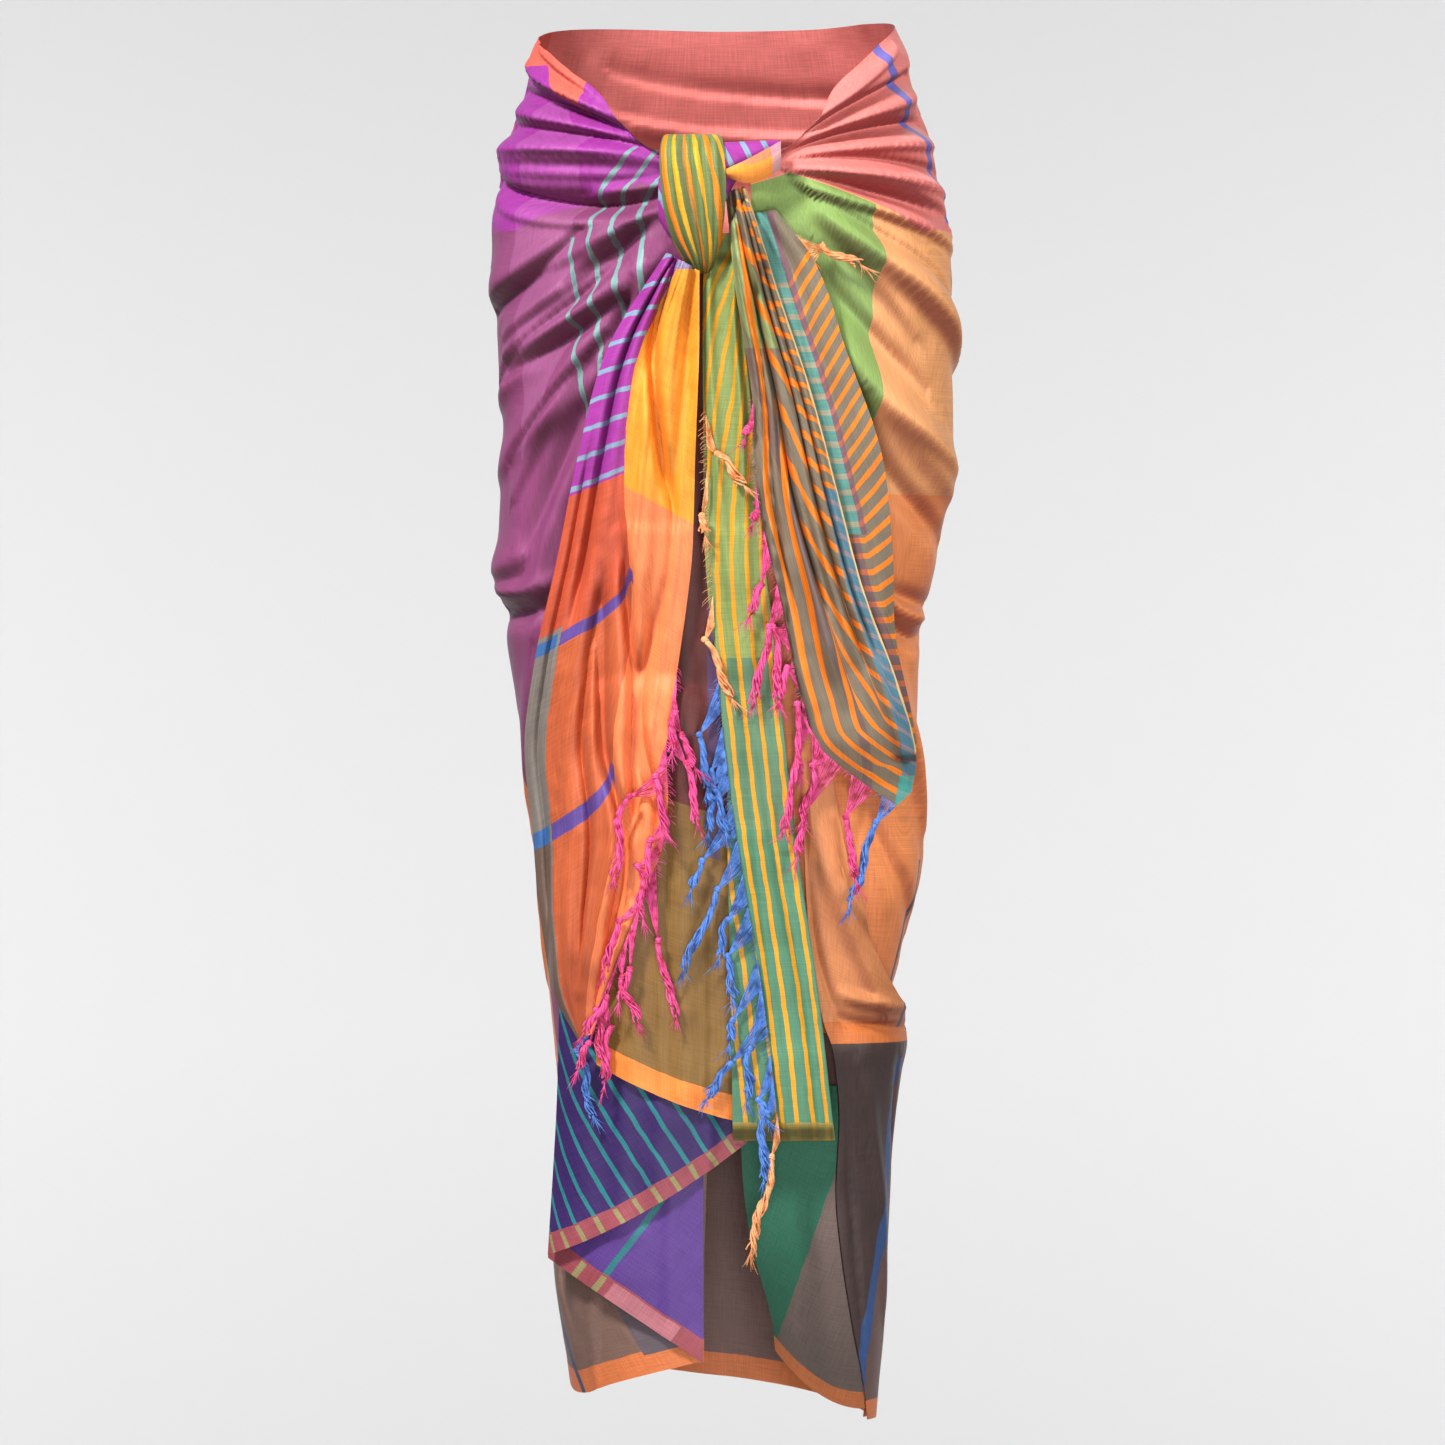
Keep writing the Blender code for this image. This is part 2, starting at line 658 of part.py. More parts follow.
def fringe(name, cover, edge, beside, tassels, colour):
    """A run of tassels: a narrow strip beside the cloth's edge, and from its outer side one
    four-sided lock for each tassel, fanned at the root, narrow at the knot, loose below.
    edge holds the cloth's edge points, beside the next points inwards."""
    tassels = np.array(tassels, float)
    roots = np.array([edge_distance(edge, x, z) for x, z in tassels[:, :2]])
    order = roots.argsort()
    tassels = tassels[order]
    roots = roots[order]
    half = min(TASSEL_ROOT / 2, 0.4 * np.diff(roots).min() if len(roots) > 1 else TASSEL_ROOT)
    roots = np.maximum(roots, half + 0.5)
    stations = np.sort(np.concatenate([roots - half, roots + half]))
    corner = np.cumsum(np.linalg.norm(np.diff(edge, axis=0), axis=1))
    in_run = (corner > stations[0] + 1) & (corner < stations[-1] - 1)
    apart = np.abs(corner[:, None] - stations).min(axis=1) > 1
    taken = (np.searchsorted(stations, corner) % 2) == 1
    stations = np.sort(np.concatenate([stations, corner[in_run & apart & ~taken]]))
    line = edge_place(edge, stations)
    inward = edge_place(beside, stations * length_ratio(beside, edge))
    along = np.gradient(line, axis=0)
    along = along / np.linalg.norm(along, axis=1, keepdims=True)
    out = line - inward
    out = out - (out * along).sum(axis=1, keepdims=True) * along
    out = out / np.linalg.norm(out, axis=1, keepdims=True)
    depth = np.array([0, -1.0, 0])
    line[:, 1] -= WALL / 2
    near = line + out * STRIP_GAP
    far = line + out * (STRIP_GAP + STRIP_WIDTH)
    half_depth = depth * STRIP_DEPTH / 2
    corners = np.stack([near + half_depth, far + half_depth, far - half_depth, near - half_depth], 1)
    points = [corners.reshape(-1, 3)]
    count = len(stations) * 4
    faces = [[0, 1, 2, 3], [count - 4, count - 3, count - 2, count - 1]]
    first = np.searchsorted(stations, roots - half * 0.999) - 1
    first = np.maximum(first, 0)
    for k in range(len(stations) - 1):
        a = 4 * k
        b = a + 4
        faces += [[a, a + 1, b + 1, b], [a + 2, a + 3, b + 3, b + 2], [a + 3, a, b, b + 3]]
        if k not in first:
            faces.append([a + 1, a + 2, b + 2, b + 1])
    for k, (root_x, root_z, knot_x, knot_z, end_x, end_z) in zip(first, tassels):
        a = 4 * k
        ring = [a + 1, a + 5, a + 6, a + 2]
        root = (far[k] + far[k + 1]) / 2
        knot = np.array([knot_x, root[1], knot_z])
        end = np.array([end_x, root[1], end_z])
        sag = np.array([0, 0, 0.1 * abs(end_x - knot_x)])
        centres = [
            root * 0.35 + knot * 0.65,
            knot,
            knot * 0.85 + end * 0.15 - sag * 0.5,
            knot * 0.6 + end * 0.4 - sag,
            knot * 0.3 + end * 0.7 - sag * 0.8,
            end,
        ]
        widths = [TASSEL_LOCK, TASSEL_KNOT, 0.8 * TASSEL_LOCK, TASSEL_LOCK, TASSEL_LOCK, 1.4 * TASSEL_LOCK]
        if (knot - root) @ out[k] < 2:
            centres[0] = root + out[k] * TASSEL_LOCK
        hand = np.sign(np.cross(along[k], depth) @ out[k])
        hang = root[1]
        for centre, width in zip(centres, widths):
            hang = min(hang, cover.front(centre[0], centre[2], 8, 18) - LAYER_GAP - width)
            centre[1] = hang
        paths = [root] + centres
        for step, (centre, width) in enumerate(zip(centres, widths)):
            ahead = paths[min(step + 2, len(paths) - 1)] - paths[step]
            side = np.array([-ahead[2], 0, ahead[0]])
            side = side / np.linalg.norm(side) * hand
            thick = depth * width * 0.8
            points.append(np.array([
                centre - side * width + thick,
                centre + side * width + thick,
                centre + side * width - thick,
                centre - side * width - thick,
            ]))
            new = [count, count + 1, count + 2, count + 3]
            for i in range(4):
                j = (i + 1) % 4
                faces.append([ring[i], ring[j], new[j], new[i]])
            ring = new
            count += 4
        faces.append(ring)
    solid = add_solid(name, np.concatenate(points), faces, colour)
    face_outwards(solid)
    cover.lay(corners)
    locks = np.array(points[1:]).reshape(len(tassels), -1, 4, 3)
    for lock in locks:
        cover.lay(lock)
    return solid


def length_ratio(line, other):
    """Length of one line of points over that of another."""
    lengths = [np.linalg.norm(np.diff(p, axis=0), axis=1).sum() for p in (line, other)]
    return lengths[0] / lengths[1]


def face_outwards(solid):
    """Turns a closed solid's faces outwards."""
    shape = bmesh.new()
    shape.from_mesh(solid.data)
    bmesh.ops.recalc_face_normals(shape, faces=shape.faces)
    shape.to_mesh(solid.data)
    shape.free()


def lay_fall(name, cover, grid, colour, reach=None):
    """Lays a cloth over what lies there already, as a wall, and returns its points."""
    if reach is not None:
        grid = ride_over(cover, grid, *reach)
    wall(name, grid, colour)
    cover.lay(grid)
    cover.lay(grid + WALL * outward(grid))
    return grid


for old in list(bpy.data.objects):
    bpy.data.objects.remove(old, do_unlink=True)

cover = Cover()
back_start = SIDE_SEAM + SEAM / GIRTH_PER_DEGREE
left_wrap = wrap_grid(front_edge(-1), straight(-SIDE_SEAM), waist_edge, hem_edge, 0, 28, 16)
right_wrap = wrap_grid(front_edge(1), straight(SIDE_SEAM), waist_edge, hem_edge, 0, 28, 16)
back_wrap = wrap_grid(
    straight(back_start), straight(360 - back_start), waist_edge, hem_edge, 0, 20, 20
)
wall("back_wrap", back_wrap, "plum silk cotton")
lay_fall("left_hip_wrap", cover, left_wrap[:, ::-1], "mauve silk cotton")
lay_fall("right_hip_wrap", cover, right_wrap, "coral silk cotton")

purple = fall_grid(FALL_PURPLE, PURPLE_FOLDS, 13, 10)
lay_fall("left_fall_purple", cover, purple, "violet silk cotton", (14, 9))
striped = fall_grid(FALL_STRIPED, STRIPED_FOLDS, 15, 12, 8)
lay_fall("left_fall_striped", cover, striped, "violet silk cotton", (15, 9))
ochre = fall_grid(FALL_OCHRE, OCHRE_FOLDS, 17, 12, 5)
lay_fall("left_fall_ochre", cover, ochre, "ochre silk cotton", (12, 9))
drape = drape_grid(cover, RIGHT_FALL, 20, 10)
lay_fall("right_fall", cover, drape, "orange silk cotton")
wall("right_fall_turn", turned_grid(drape[:, 0], 10, 8), "teal silk cotton")
centre = double_grid(cover, CENTRE_FALL, 17)
lay_fall("centre_fall", cover, centre, "green striped silk cotton")
left_tail = fall_grid(LEFT_TAIL, LEFT_TAIL_FOLDS, 19, 14)
lay_fall("left_tail", cover, left_tail, "coral silk cotton", (12, 24))
turn = fall_grid(RIGHT_TAIL_TURN, TURN_FOLDS, 14, 6)
lay_fall("right_tail_turn", cover, turn, "olive striped silk cotton", (12, 9))
right_tail = fall_grid(RIGHT_TAIL, RIGHT_TAIL_FOLDS, 18, 14)
lay_fall("right_tail", cover, right_tail, "olive striped silk cotton", (12, 24))

roll_x, roll_y, roll_z, roll_high, roll_deep = columns(KNOT_ROLL)
rings = tube_rings(np.stack([roll_x, roll_y, roll_z], 1), roll_high, roll_deep, 12)
roll = bar("knot_core", rings, "magenta silk cotton")
face_outwards(roll)
wall("knot_band", band_grid(13, 21), "olive striped silk cotton")
tuck_x, tuck_low, tuck_top, tuck_y = columns(KNOT_TUCK)
share = np.linspace(1, 0, 4)[:, None]
tuck = np.stack([
    tuck_x + 0 * share,
    tuck_y + 0 * share,
    tuck_low + (tuck_top - tuck_low) * share,
], -1)
wall("knot_tuck", tuck, "coral silk cotton")

left_edge = left_tail[:, -1]
left_beside = left_tail[:, -2]
fringe("fringe_left_pink", cover, left_edge, left_beside, PINK_LEFT, "pink thread")
fringe("fringe_left_blue", cover, left_tail[-1], left_tail[-2], BLUE_LEFT, "blue thread")
centre_edge = centre[:, -1]
centre_beside = centre[:, -2]
fringe("fringe_centre_peach", cover, centre_edge, centre_beside, PEACH_CENTRE, "peach thread")
fringe("fringe_centre_blue", cover, centre_edge, centre_beside, BLUE_CENTRE, "blue thread")
fringe("fringe_centre_tip", cover, centre_edge, centre_beside, PEACH_TIP, "peach thread")
hip_edge = turn[:, -1]
fringe("fringe_hip_peach", cover, hip_edge, turn[:, -2], PEACH_HIP, "peach thread")
right_edge = right_tail[:, 0]
right_beside = right_tail[:, 1]
fringe("fringe_right_pink", cover, right_edge, right_beside, PINK_RIGHT, "pink thread")
fringe("fringe_right_blue", cover, right_edge, right_beside, BLUE_RIGHT, "blue thread")
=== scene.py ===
"""The looks of a longyi sarong that is worn and tied at the front.

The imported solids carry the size. Every stretch of cloth here is a thin handwoven wall that
lies in the wall of the solid it stands for, worked out on a finer grid and with more folds.
Tables are in millimetres and degrees, and the meshes in metres. The front faces -Y. A turn is
the angle round the body: 0 is the front, 90 the side at +X, 180 the back, 270 the side at -X.
"""

import bpy
import numpy as np
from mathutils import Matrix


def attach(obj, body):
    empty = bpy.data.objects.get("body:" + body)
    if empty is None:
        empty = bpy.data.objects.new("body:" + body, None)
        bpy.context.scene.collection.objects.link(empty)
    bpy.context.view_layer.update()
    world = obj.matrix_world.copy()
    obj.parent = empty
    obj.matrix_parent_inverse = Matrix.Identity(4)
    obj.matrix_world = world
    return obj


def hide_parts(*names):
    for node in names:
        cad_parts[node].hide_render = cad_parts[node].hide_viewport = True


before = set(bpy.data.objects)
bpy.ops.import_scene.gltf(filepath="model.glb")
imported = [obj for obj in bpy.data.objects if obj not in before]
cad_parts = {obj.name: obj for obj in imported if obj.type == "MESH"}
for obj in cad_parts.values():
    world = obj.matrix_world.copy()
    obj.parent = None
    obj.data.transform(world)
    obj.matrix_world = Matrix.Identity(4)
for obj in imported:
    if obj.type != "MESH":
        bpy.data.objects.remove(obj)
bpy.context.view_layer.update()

MM = 0.001
# The cloth is drawn 0.7 mm thick, inside the 1.3 mm wall of its solid
INNER_FACE = 0.3
OUTER_FACE = 1.0
LAYER_GAP = 0.3
SEED = 11
# Uneven relief comes from a lattice of this many random heights a side, which repeats. The
# margin keeps every place on it above zero.
LATTICE = 64
LATTICE_MARGIN = 100

# The wrapped cloth's form from the waist edge down: height, half width at -X and at +X,
# half depth at the front and at the back
FORM = [
    (125, 135, 130, 94, 101),
    (95, 146, 141, 99, 106),
    (60, 155, 150, 105, 112),
    (30, 164, 160, 110, 117),
    (0, 174, 167, 113, 121),
    (-35, 181, 172, 116, 125),
    (-70, 180, 178, 117, 128),
    (-110, 178, 179, 118, 130),
    (-160, 175, 180, 118, 130),
    (-210, 172, 180, 118, 128),
    (-260, 175, 176, 116, 124),
    (-310, 177, 168, 114, 119),
    (-360, 172, 157, 112, 114),
    (-420, 161, 153, 109, 109),
    (-500, 150, 153, 106, 104),
    (-560, 143, 154, 105, 100),
    (-620, 138, 140, 103, 97),
    (-680, 133, 126, 102, 94),
    (-740, 127, 124, 101, 92),
    (-800, 127, 124, 100, 90),
    (-860, 133, 122, 99, 89),
    (-920, 125, 119, 98, 88),
    (-1000, 112, 112, 96, 86),
]
ROUNDNESS = 2.3
GIRTH_PER_DEGREE = 2.6
# What hangs in front passes the form on a fuller curve
HANGING_WIDER = 1.14
HANGING_REACH = 0.93
HANGING_ROUND = 2.6

# Where the cloth starts and stops round the body: turn, waist edge height, hem height
EDGES = [
    (-180, 116, -958), (-150, 117, -950), (-120, 114, -950), (-90, 105, -955),
    (-75, 98, -962), (-60, 88, -962), (-45, 72, -955), (-30, 50, -948),
    (-16, 12, -941), (-5, 5, -936), (5, 5, -940), (16, 15, -950),
    (30, 56, -966), (45, 80, -976), (60, 97, -982), (75, 107, -983),
    (90, 114, -983), (120, 119, -978), (150, 117, -968), (180, 116, -958),
]
# Front edges of the two hip wraps: height, the left wrap's turn, the right wrap's turn
FRONT_EDGES = [
    (20, -5, 5),
    (-150, -4, 6),
    (-400, -3, 12),
    (-560, -3, 20),
    (-680, -3, 34),
    (-800, -4, 50),
    (-960, -5, 76),
]
# Turn of the two seams at the sides, and the wrap's grid: its rows lie closer together
# towards the waist edge
SIDE_SEAM = 100
WRAP_ROWS = 320
ROW_CROWDING = 1.45
RIGHT_COLS = 110
BACK_COLS = 62
LEFT_COLS = 110
# Small uneven relief of the wrap: height, size and seed
WRAP_CRUMPLE = [(0.9, 46, SEED), (0.35, 17, 3)]

# Soft ridges and valleys of the wrap, pulled towards the knot. Columns: turn and height of
# the start, the middle and the end, height of the fold, its half width
WRAP_FOLDS = [
    (-8, -70, 0, -35, 8, 0, 8, 42),
    (-10, 4, -34, 44, -92, 92, 8, 13),
    (-10, 0, -36, 6, -100, 12, 9, 13),
    (-10, -20, -33, -26, -95, -14, -7, 12),
    (-11, -34, -40, -72, -98, -104, 9, 17),
    (-11, -62, -34, -118, -88, -186, 8, 17),
    (-12, -96, -44, -192, -98, -246, 7, 18),
    (-56, -300, -76, -316, -112, -312, 6, 14),
    (-50, -334, -76, -346, -112, -352, -6, 12),
    (-40, -360, -66, -430, -96, -540, 6, 20),
    (10, 10, 34, 48, 88, 88, 7, 13),
    (12, -2, 36, 22, 92, 44, -6, 12),
    (12, -8, 42, -14, 100, -58, 10, 15),
    (24, -36, 50, -92, 102, -156, 15, 18),
    (26, -150, 58, -226, 100, -262, 7, 20),
    (44, -332, 66, -340, 106, -350, -6, 13),
    (36, -380, 66, -440, 100, -570, 6, 22),
    (96, 30, 180, -16, 264, 34, 7, 22),
    (98, -100, 178, -180, 262, -90, 8, 28),
    (104, -230, 172, -330, 250, -240, 6, 30),
    (150, -420, 156, -650, 148, -930, 8, 28),
    (214, -400, 208, -640, 216, -930, 8, 28),
    (118, -430, 122, -680, 116, -930, 7, 24),
    (240, -440, 238, -700, 244, -930, 7, 24),
]
# Creases over those on the front, as they are seen from there. Columns: x and z of the start,
# the middle and the end, height of the crease, its half width
FRONT_CREASES = [
    (-46, 12, -96, 57, -140, 97, 5, 4.5),
    (-47, 11, -100, 47, -148, 80, 6, 5),
    (-47, 9, -104, 38, -156, 62, -6, 5),
    (-48, 8, -106, 30, -161, 46, 6, 6),
    (-49, 7, -106, 21, -166, 33, -7, 6),
    (-49, 4, -112, 12, -172, 16, 6, 9),
    (-49, -6, -112, -8, -178, 2, 3, 7),
    (-48, -26, -112, -33, -182, -7, -9, 6),
    (-60, -30, -120, -46, -182, -20, 3, 8),
    (-46, -18, -70, -22, -104, -25, 5, 4),
    (-48, -36, -68, -46, -96, -62, 4, 5),
    (-50, -44, -84, -70, -120, -96, -5, 5),
    (-108, -52, -151, -88, -180, -112, -7, 7),
    (-84, -62, -126, -100, -170, -134, 5, 8),
    (-66, -54, -122, -115, -174, -169, -6, 7),
    (-80, -92, -124, -126, -168, -150, 5, 7),
    (-78, -106, -127, -139, -168, -164, -7, 6),
    (-74, -108, -112, -162, -166, -234, -6, 7),
    (-92, -128, -128, -188, -162, -260, 5, 11),
    (-98, -160, -127, -226, -152, -300, -8, 15),
    (-112, -214, -130, -280, -146, -370, 5, 14),
    (-66, -90, -80, -130, -96, -190, -5, 6),
    (-58, -80, -70, -126, -84, -190, 4, 6),
    (-134, -326, -156, -336, -178, -330, 6, 6),
    (-128, -340, -154, -350, -176, -346, -5, 6),
    (-128, -420, -140, -520, -138, -640, 4, 10),
    (-120, -700, -124, -800, -120, -900, -3, 12),
    (-92, -860, -98, -905, -96, -960, 3, 10),
    (44, 10, 92, 54, 134, 94, 5, 4),
    (44, 8, 98, 45, 142, 74, -6, 5),
    (45, 6, 102, 35, 150, 56, 6, 6),
    (45, 4, 106, 25, 158, 36, -7, 6),
    (46, 2, 108, 14, 164, 18, 6, 7),
    (46, -1, 110, 3, 170, -4, -6, 6),
    (48, -4, 114, -9, 176, -22, 6, 7),
    (50, -7, 114, -20, 180, -42, -7, 6),
    (56, -12, 112, -34, 178, -64, 6, 8),
    (62, -20, 110, -50, 172, -92, -4, 8),
    (70, -30, 106, -74, 150, -132, 5, 11),
    (74, -70, 106, -120, 160, -178, -5, 12),
    (96, -130, 132, -196, 180, -240, 6, 14),
    (108, -180, 140, -250, 178, -292, -6, 13),
    (120, -330, 144, -352, 166, -352, 6, 7),
    (124, -348, 146, -368, 166, -366, -5, 6),
    (118, -380, 138, -440, 158, -520, 5, 14),
    (112, -430, 122, -520, 150, -600, -4, 14),
    (60, -300, 74, -400, 84, -480, 4, 14),
    (96, -700, 112, -820, 116, -930, 3, 12),
]
# Creases at the sides and the back, in the columns of the folds
BACK_CREASES = [
    (108, 84, 150, 62, 214, 84, 3, 8),
    (112, 56, 160, 30, 236, 62, -4, 8),
    (102, -10, 150, -66, 222, -74, 4, 11),
    (110, -160, 160, -236, 240, -176, 4, 12),
    (120, -300, 176, -376, 244, -310, -4, 13),
    (96, 60, 120, 46, 150, 58, 3, 7),
    (206, 40, 236, 30, 262, 52, 3, 7),
    (196, -30, 230, -60, 262, -40, -4, 10),
    (134, -470, 138, -700, 132, -940, 4, 12),
    (166, -460, 172, -690, 168, -940, -4, 13),
    (186, -520, 190, -740, 184, -940, 4, 12),
    (226, -480, 224, -690, 230, -940, -4, 12),
    (250, -520, 256, -720, 252, -940, 3, 11),
    (104, -560, 108, -740, 102, -900, 3, 11),
]
# A crease is LEE of its width wide on its side that faces down and WEATHER of it on the other,
# but not under NARROWEST, which the grid can still show. The front creases are deepened.
LEE = 0.5
WEATHER = 1.2
NARROWEST = 4.2
FRONT_DEPTH = 1.35
CREASE_STEPS = 25
CREASE_REACH = 3

# The knot draws the wrap together: its turn and height as the left and the right wrap see it.
# Above GATHER_END the gathering bends the lines of weft.
KNOT_TURN = (-17, 15)
KNOT_HEIGHT = (-12, -2)
GATHER_SPREAD = 124
GATHER_NEAREST = 14
GATHER_END = -420
LEVEL_HEM = -960
# Stripes near the left front edge lean towards the knot above STRIPE_TURNS
STRIPE_TURNS = -30
STRIPE_RISE = 45
STRIPE_LEAN = 0.65
LEANING_FROM = 838
LEANING_TO = 880
# A stripe low on the left side drifts back towards the hem
LEFT_DRIFT = 52
DRIFT_TOP = -891
DRIFT_HEIGHT = 71
# A warp stripe on the right side: height and its turn there; its place on the flat cloth, and
# how many degrees beside it follow it
RIGHT_STRIPE = [
    (120, 46), (93, 52), (32, 68), (-30, 84), (-120, 99), (-420, 99), (-561, 83),
    (-654, 73), (-700, 75), (-765, 73), (-828, 68), (-932, 57),
]
RIGHT_STRIPE_AT = 150
RIGHT_STRIPE_REACH = 24

# The front right drape over the wrap: height, turn of its free edge and of its side edge,
# how far it stands off the form
RIGHT_FALL = [
    (-425, 17, 27, 1),
    (-500, 20, 31, 5),
    (-561, 20, 35, 9),
    (-597, 22, 42, 10),
    (-640, 26, 60, 13),
    (-672, 30, 86, 16),
    (-690, 33, 100, 19),
    (-712, 36, 104, 16),
    (-745, 39, 106, 11),
    (-800, 39, 106, 8),
    (-905, 50, 104, 7),
    (-984, 68, 102, 6),
]
# Its folds, in the columns of the front creases
DRAPE_FOLDS = [
    (60, -440, 78, -560, 112, -664, 6, 13),
    (44, -470, 66, -600, 84, -668, -5, 9),
    (84, -649, 104, -656, 128, -660, 5, 4),
    (80, -668, 108, -674, 142, -677, -5, 4),
    (88, -560, 112, -600, 140, -640, 4, 12),
    (96, -470, 112, -520, 132, -560, -3, 12),
    (92, -700, 112, -790, 118, -900, 4, 13),
    (84, -720, 94, -800, 104, -950, -4, 9),
    (120, -700, 124, -780, 122, -860, -4, 9),
]
DRAPE_SEAT = 2.2
DRAPE_SEAT_TOP = -780

# Flat falls and tails: each section runs from the left edge to the right edge.
# Columns: left x, left z, right x, right z, how far it stands off what lies under it
FALL_PURPLE = [
    (-80, -430, -20, -430, 3),
    (-122, -600, -17, -600, 4),
    (-127, -700, -15, -700, 5),
    (-130, -780, -15, -810, 6),
    (-136, -856, -15, -936, 6),
]
FALL_STRIPED = [
    (-70, -300, 5, -300, 3),
    (-120, -480, 14, -480, 4),
    (-126, -620, 18, -620, 6),
    (-129, -735, 19, -700, 9),
    (-136, -853, 19, -764, 8),
]
FALL_OCHRE = [
    (-48, -86, -4, -86, 3),
    (-80, -250, 10, -250, 5),
    (-98, -450, 14, -450, 7),
    (-103, -600, 16, -600, 9),
    (-98, -703, 15, -748, 11),
]
LEFT_TAIL = [
    (-43, -72, -18, -86, 3),
    (-87, -142, -18, -150, 11),
    (-112, -230, -21, -235, 11),
    (-128, -308, -24, -308, 10),
    (-147, -395, -36, -400, 10),
    (-154, -450, -43, -450, 11),
    (-148, -520, -44, -520, 13),
    (-140, -600, -73, -600, 15),
    (-128, -655, -93, -652, 16),
    (-113, -683, -101, -679, 17),
]
RIGHT_TAIL_TURN = [
    (16, -42, 41, -38, 2),
    (34, -84, 69, -74, 6),
    (50, -150, 97, -150, 8),
    (70, -228, 124, -229, 9),
    (90, -300, 132, -302, 9),
    (106, -372, 135, -372, 9),
    (124, -425, 146, -424, 9),
    (136, -458, 152, -456, 9),
]
RIGHT_TAIL = [
    (3, -24, 17, -20, 2),
    (10, -95, 41, -97, 11),
    (23, -182, 69, -182, 12),
    (27, -261, 90, -261, 11),
    (46, -345, 110, -335, 10),
    (62, -419, 136, -405, 10),
    (76, -456, 148, -445, 10),
    (106, -481, 151, -468, 10),
    (136, -501, 147, -491, 10),
]
# The centre fall is folded double: back layer's left edge, fold, front layer's fringed edge
CENTRE_FALL = [
    (-14, 24, -14, -56),
    (-15, 18, -15, -92),
    (-15, 24, -13, -200),
    (-12, 36, -8, -330),
    (2, 48, 0, -440),
    (4, 60, 14, -545),
    (6, 74, 30, -640),
    (8, 88, 45, -762),
]
FOLD_RADIUS = 2.6
CENTRE_ROWS = 190
CENTRE_BACK_COLS = 22
CENTRE_BEND_COLS = 9
CENTRE_FRONT_COLS = 26
CENTRE_FOLD_COLUMN = CENTRE_BACK_COLS + CENTRE_BEND_COLS // 2
# Two soft swells down its front layer: place across it, way they wander, height, half width
CENTRE_SWELLS = [
    (0.3, 1, 4.5, 0.13),
    (0.72, -1, 3.5, 0.12),
]
CENTRE_WANDER = 0.12
CENTRE_WANDER_PITCH = 90
# Below the knot the cloth is drawn askew, so its stripes sweep to the fold there
CENTRE_ASKEW_FROM = -360
CENTRE_ASKEW = 0.0007
# The end of the right drape, turned inwards from its free edge: height on that edge, then
# x, y and z of its own left edge
RIGHT_TURN = [
    (-720, 18, -74, -720),
    (-775, 15, -72, -775),
    (-830, 22, -66, -840),
    (-900, 38, -50, -900),
    (-975, 42, -36, -930),
]
TURN_HEM_BOW = 12
# The teal block meets the brown one on a slanting line from the drape's edge to the hem
TEAL_LINE_X = 42
TEAL_LINE_Z = -923
TEAL_LINE_SLOPE = 0.34

# Folds along a fall or tail, across it from 0 to 1: place at the top, place at the end,
# height of the ridge, its half width, start and end along the length. A ridge fades over
# RIDGE_FADE of the length.
RIDGE_FADE = 0.12
PURPLE_FOLDS = [
    (0.5, 0.35, 4, 0.22, 0.0, 1.2),
    (0.8, 0.78, 2, 0.06, 0.2, 1.2),
    (0.2, 0.14, 2, 0.05, 0.3, 1.2),
]
STRIPED_FOLDS = [
    (0.1, 0.12, 4, 0.09, 0.2, 1.2),
    (0.6, 0.55, 5, 0.2, 0.2, 1.2),
    (0.34, 0.36, 1.5, 0.05, 0.5, 1.2),
    (0.84, 0.8, 2, 0.06, 0.4, 1.2),
]
OCHRE_FOLDS = [
    (0.3, 0.25, 5, 0.11, 0.0, 1.2),
    (0.6, 0.62, 6, 0.12, 0.0, 1.2),
    (0.85, 0.9, 4, 0.08, 0.0, 1.2),
    (0.44, 0.45, 1.6, 0.03, 0.5, 1.2),
    (0.76, 0.74, 1.6, 0.03, 0.6, 1.1),
]
LEFT_TAIL_FOLDS = [
    (0.12, 0.1, 5, 0.1, 0.0, 1.0),
    (0.62, 0.66, 9, 0.1, 0.0, 0.9),
    (0.97, 0.96, 5, 0.09, 0.1, 1.0),
    (0.27, 0.3, 5, 0.07, 0.0, 1.0),
    (0.5, 0.46, 4, 0.035, 0.0, 0.5),
    (0.42, 0.52, 3, 0.03, 0.45, 0.95),
    (0.78, 0.8, 4, 0.04, 0.05, 0.7),
    (0.9, 0.86, 3, 0.03, 0.2, 0.8),
    (0.45, 0.5, 11, 0.5, 0.0, 1.0),
    (0.3, 1.9, -24, 0.055, 0.0, 0.36),
    (-0.03, 0.92, -20, 0.045, 0.38, 1.0),
    (0.0, 1.3, -19, 0.045, 0.32, 0.78),
    (0.2, 0.2, -12, 0.04, 0.0, 0.5),
    (0.7, 0.86, 6, 0.045, 0.0, 0.4),
    (0.86, 0.7, -13, 0.045, 0.4, 0.8),
    (0.24, 0.5, -9, 0.03, 0.4, 0.95),
    (0.52, 0.62, 5, 0.03, 0.1, 0.5),
    (0.08, 0.1, -9, 0.03, 0.2, 0.9),
]
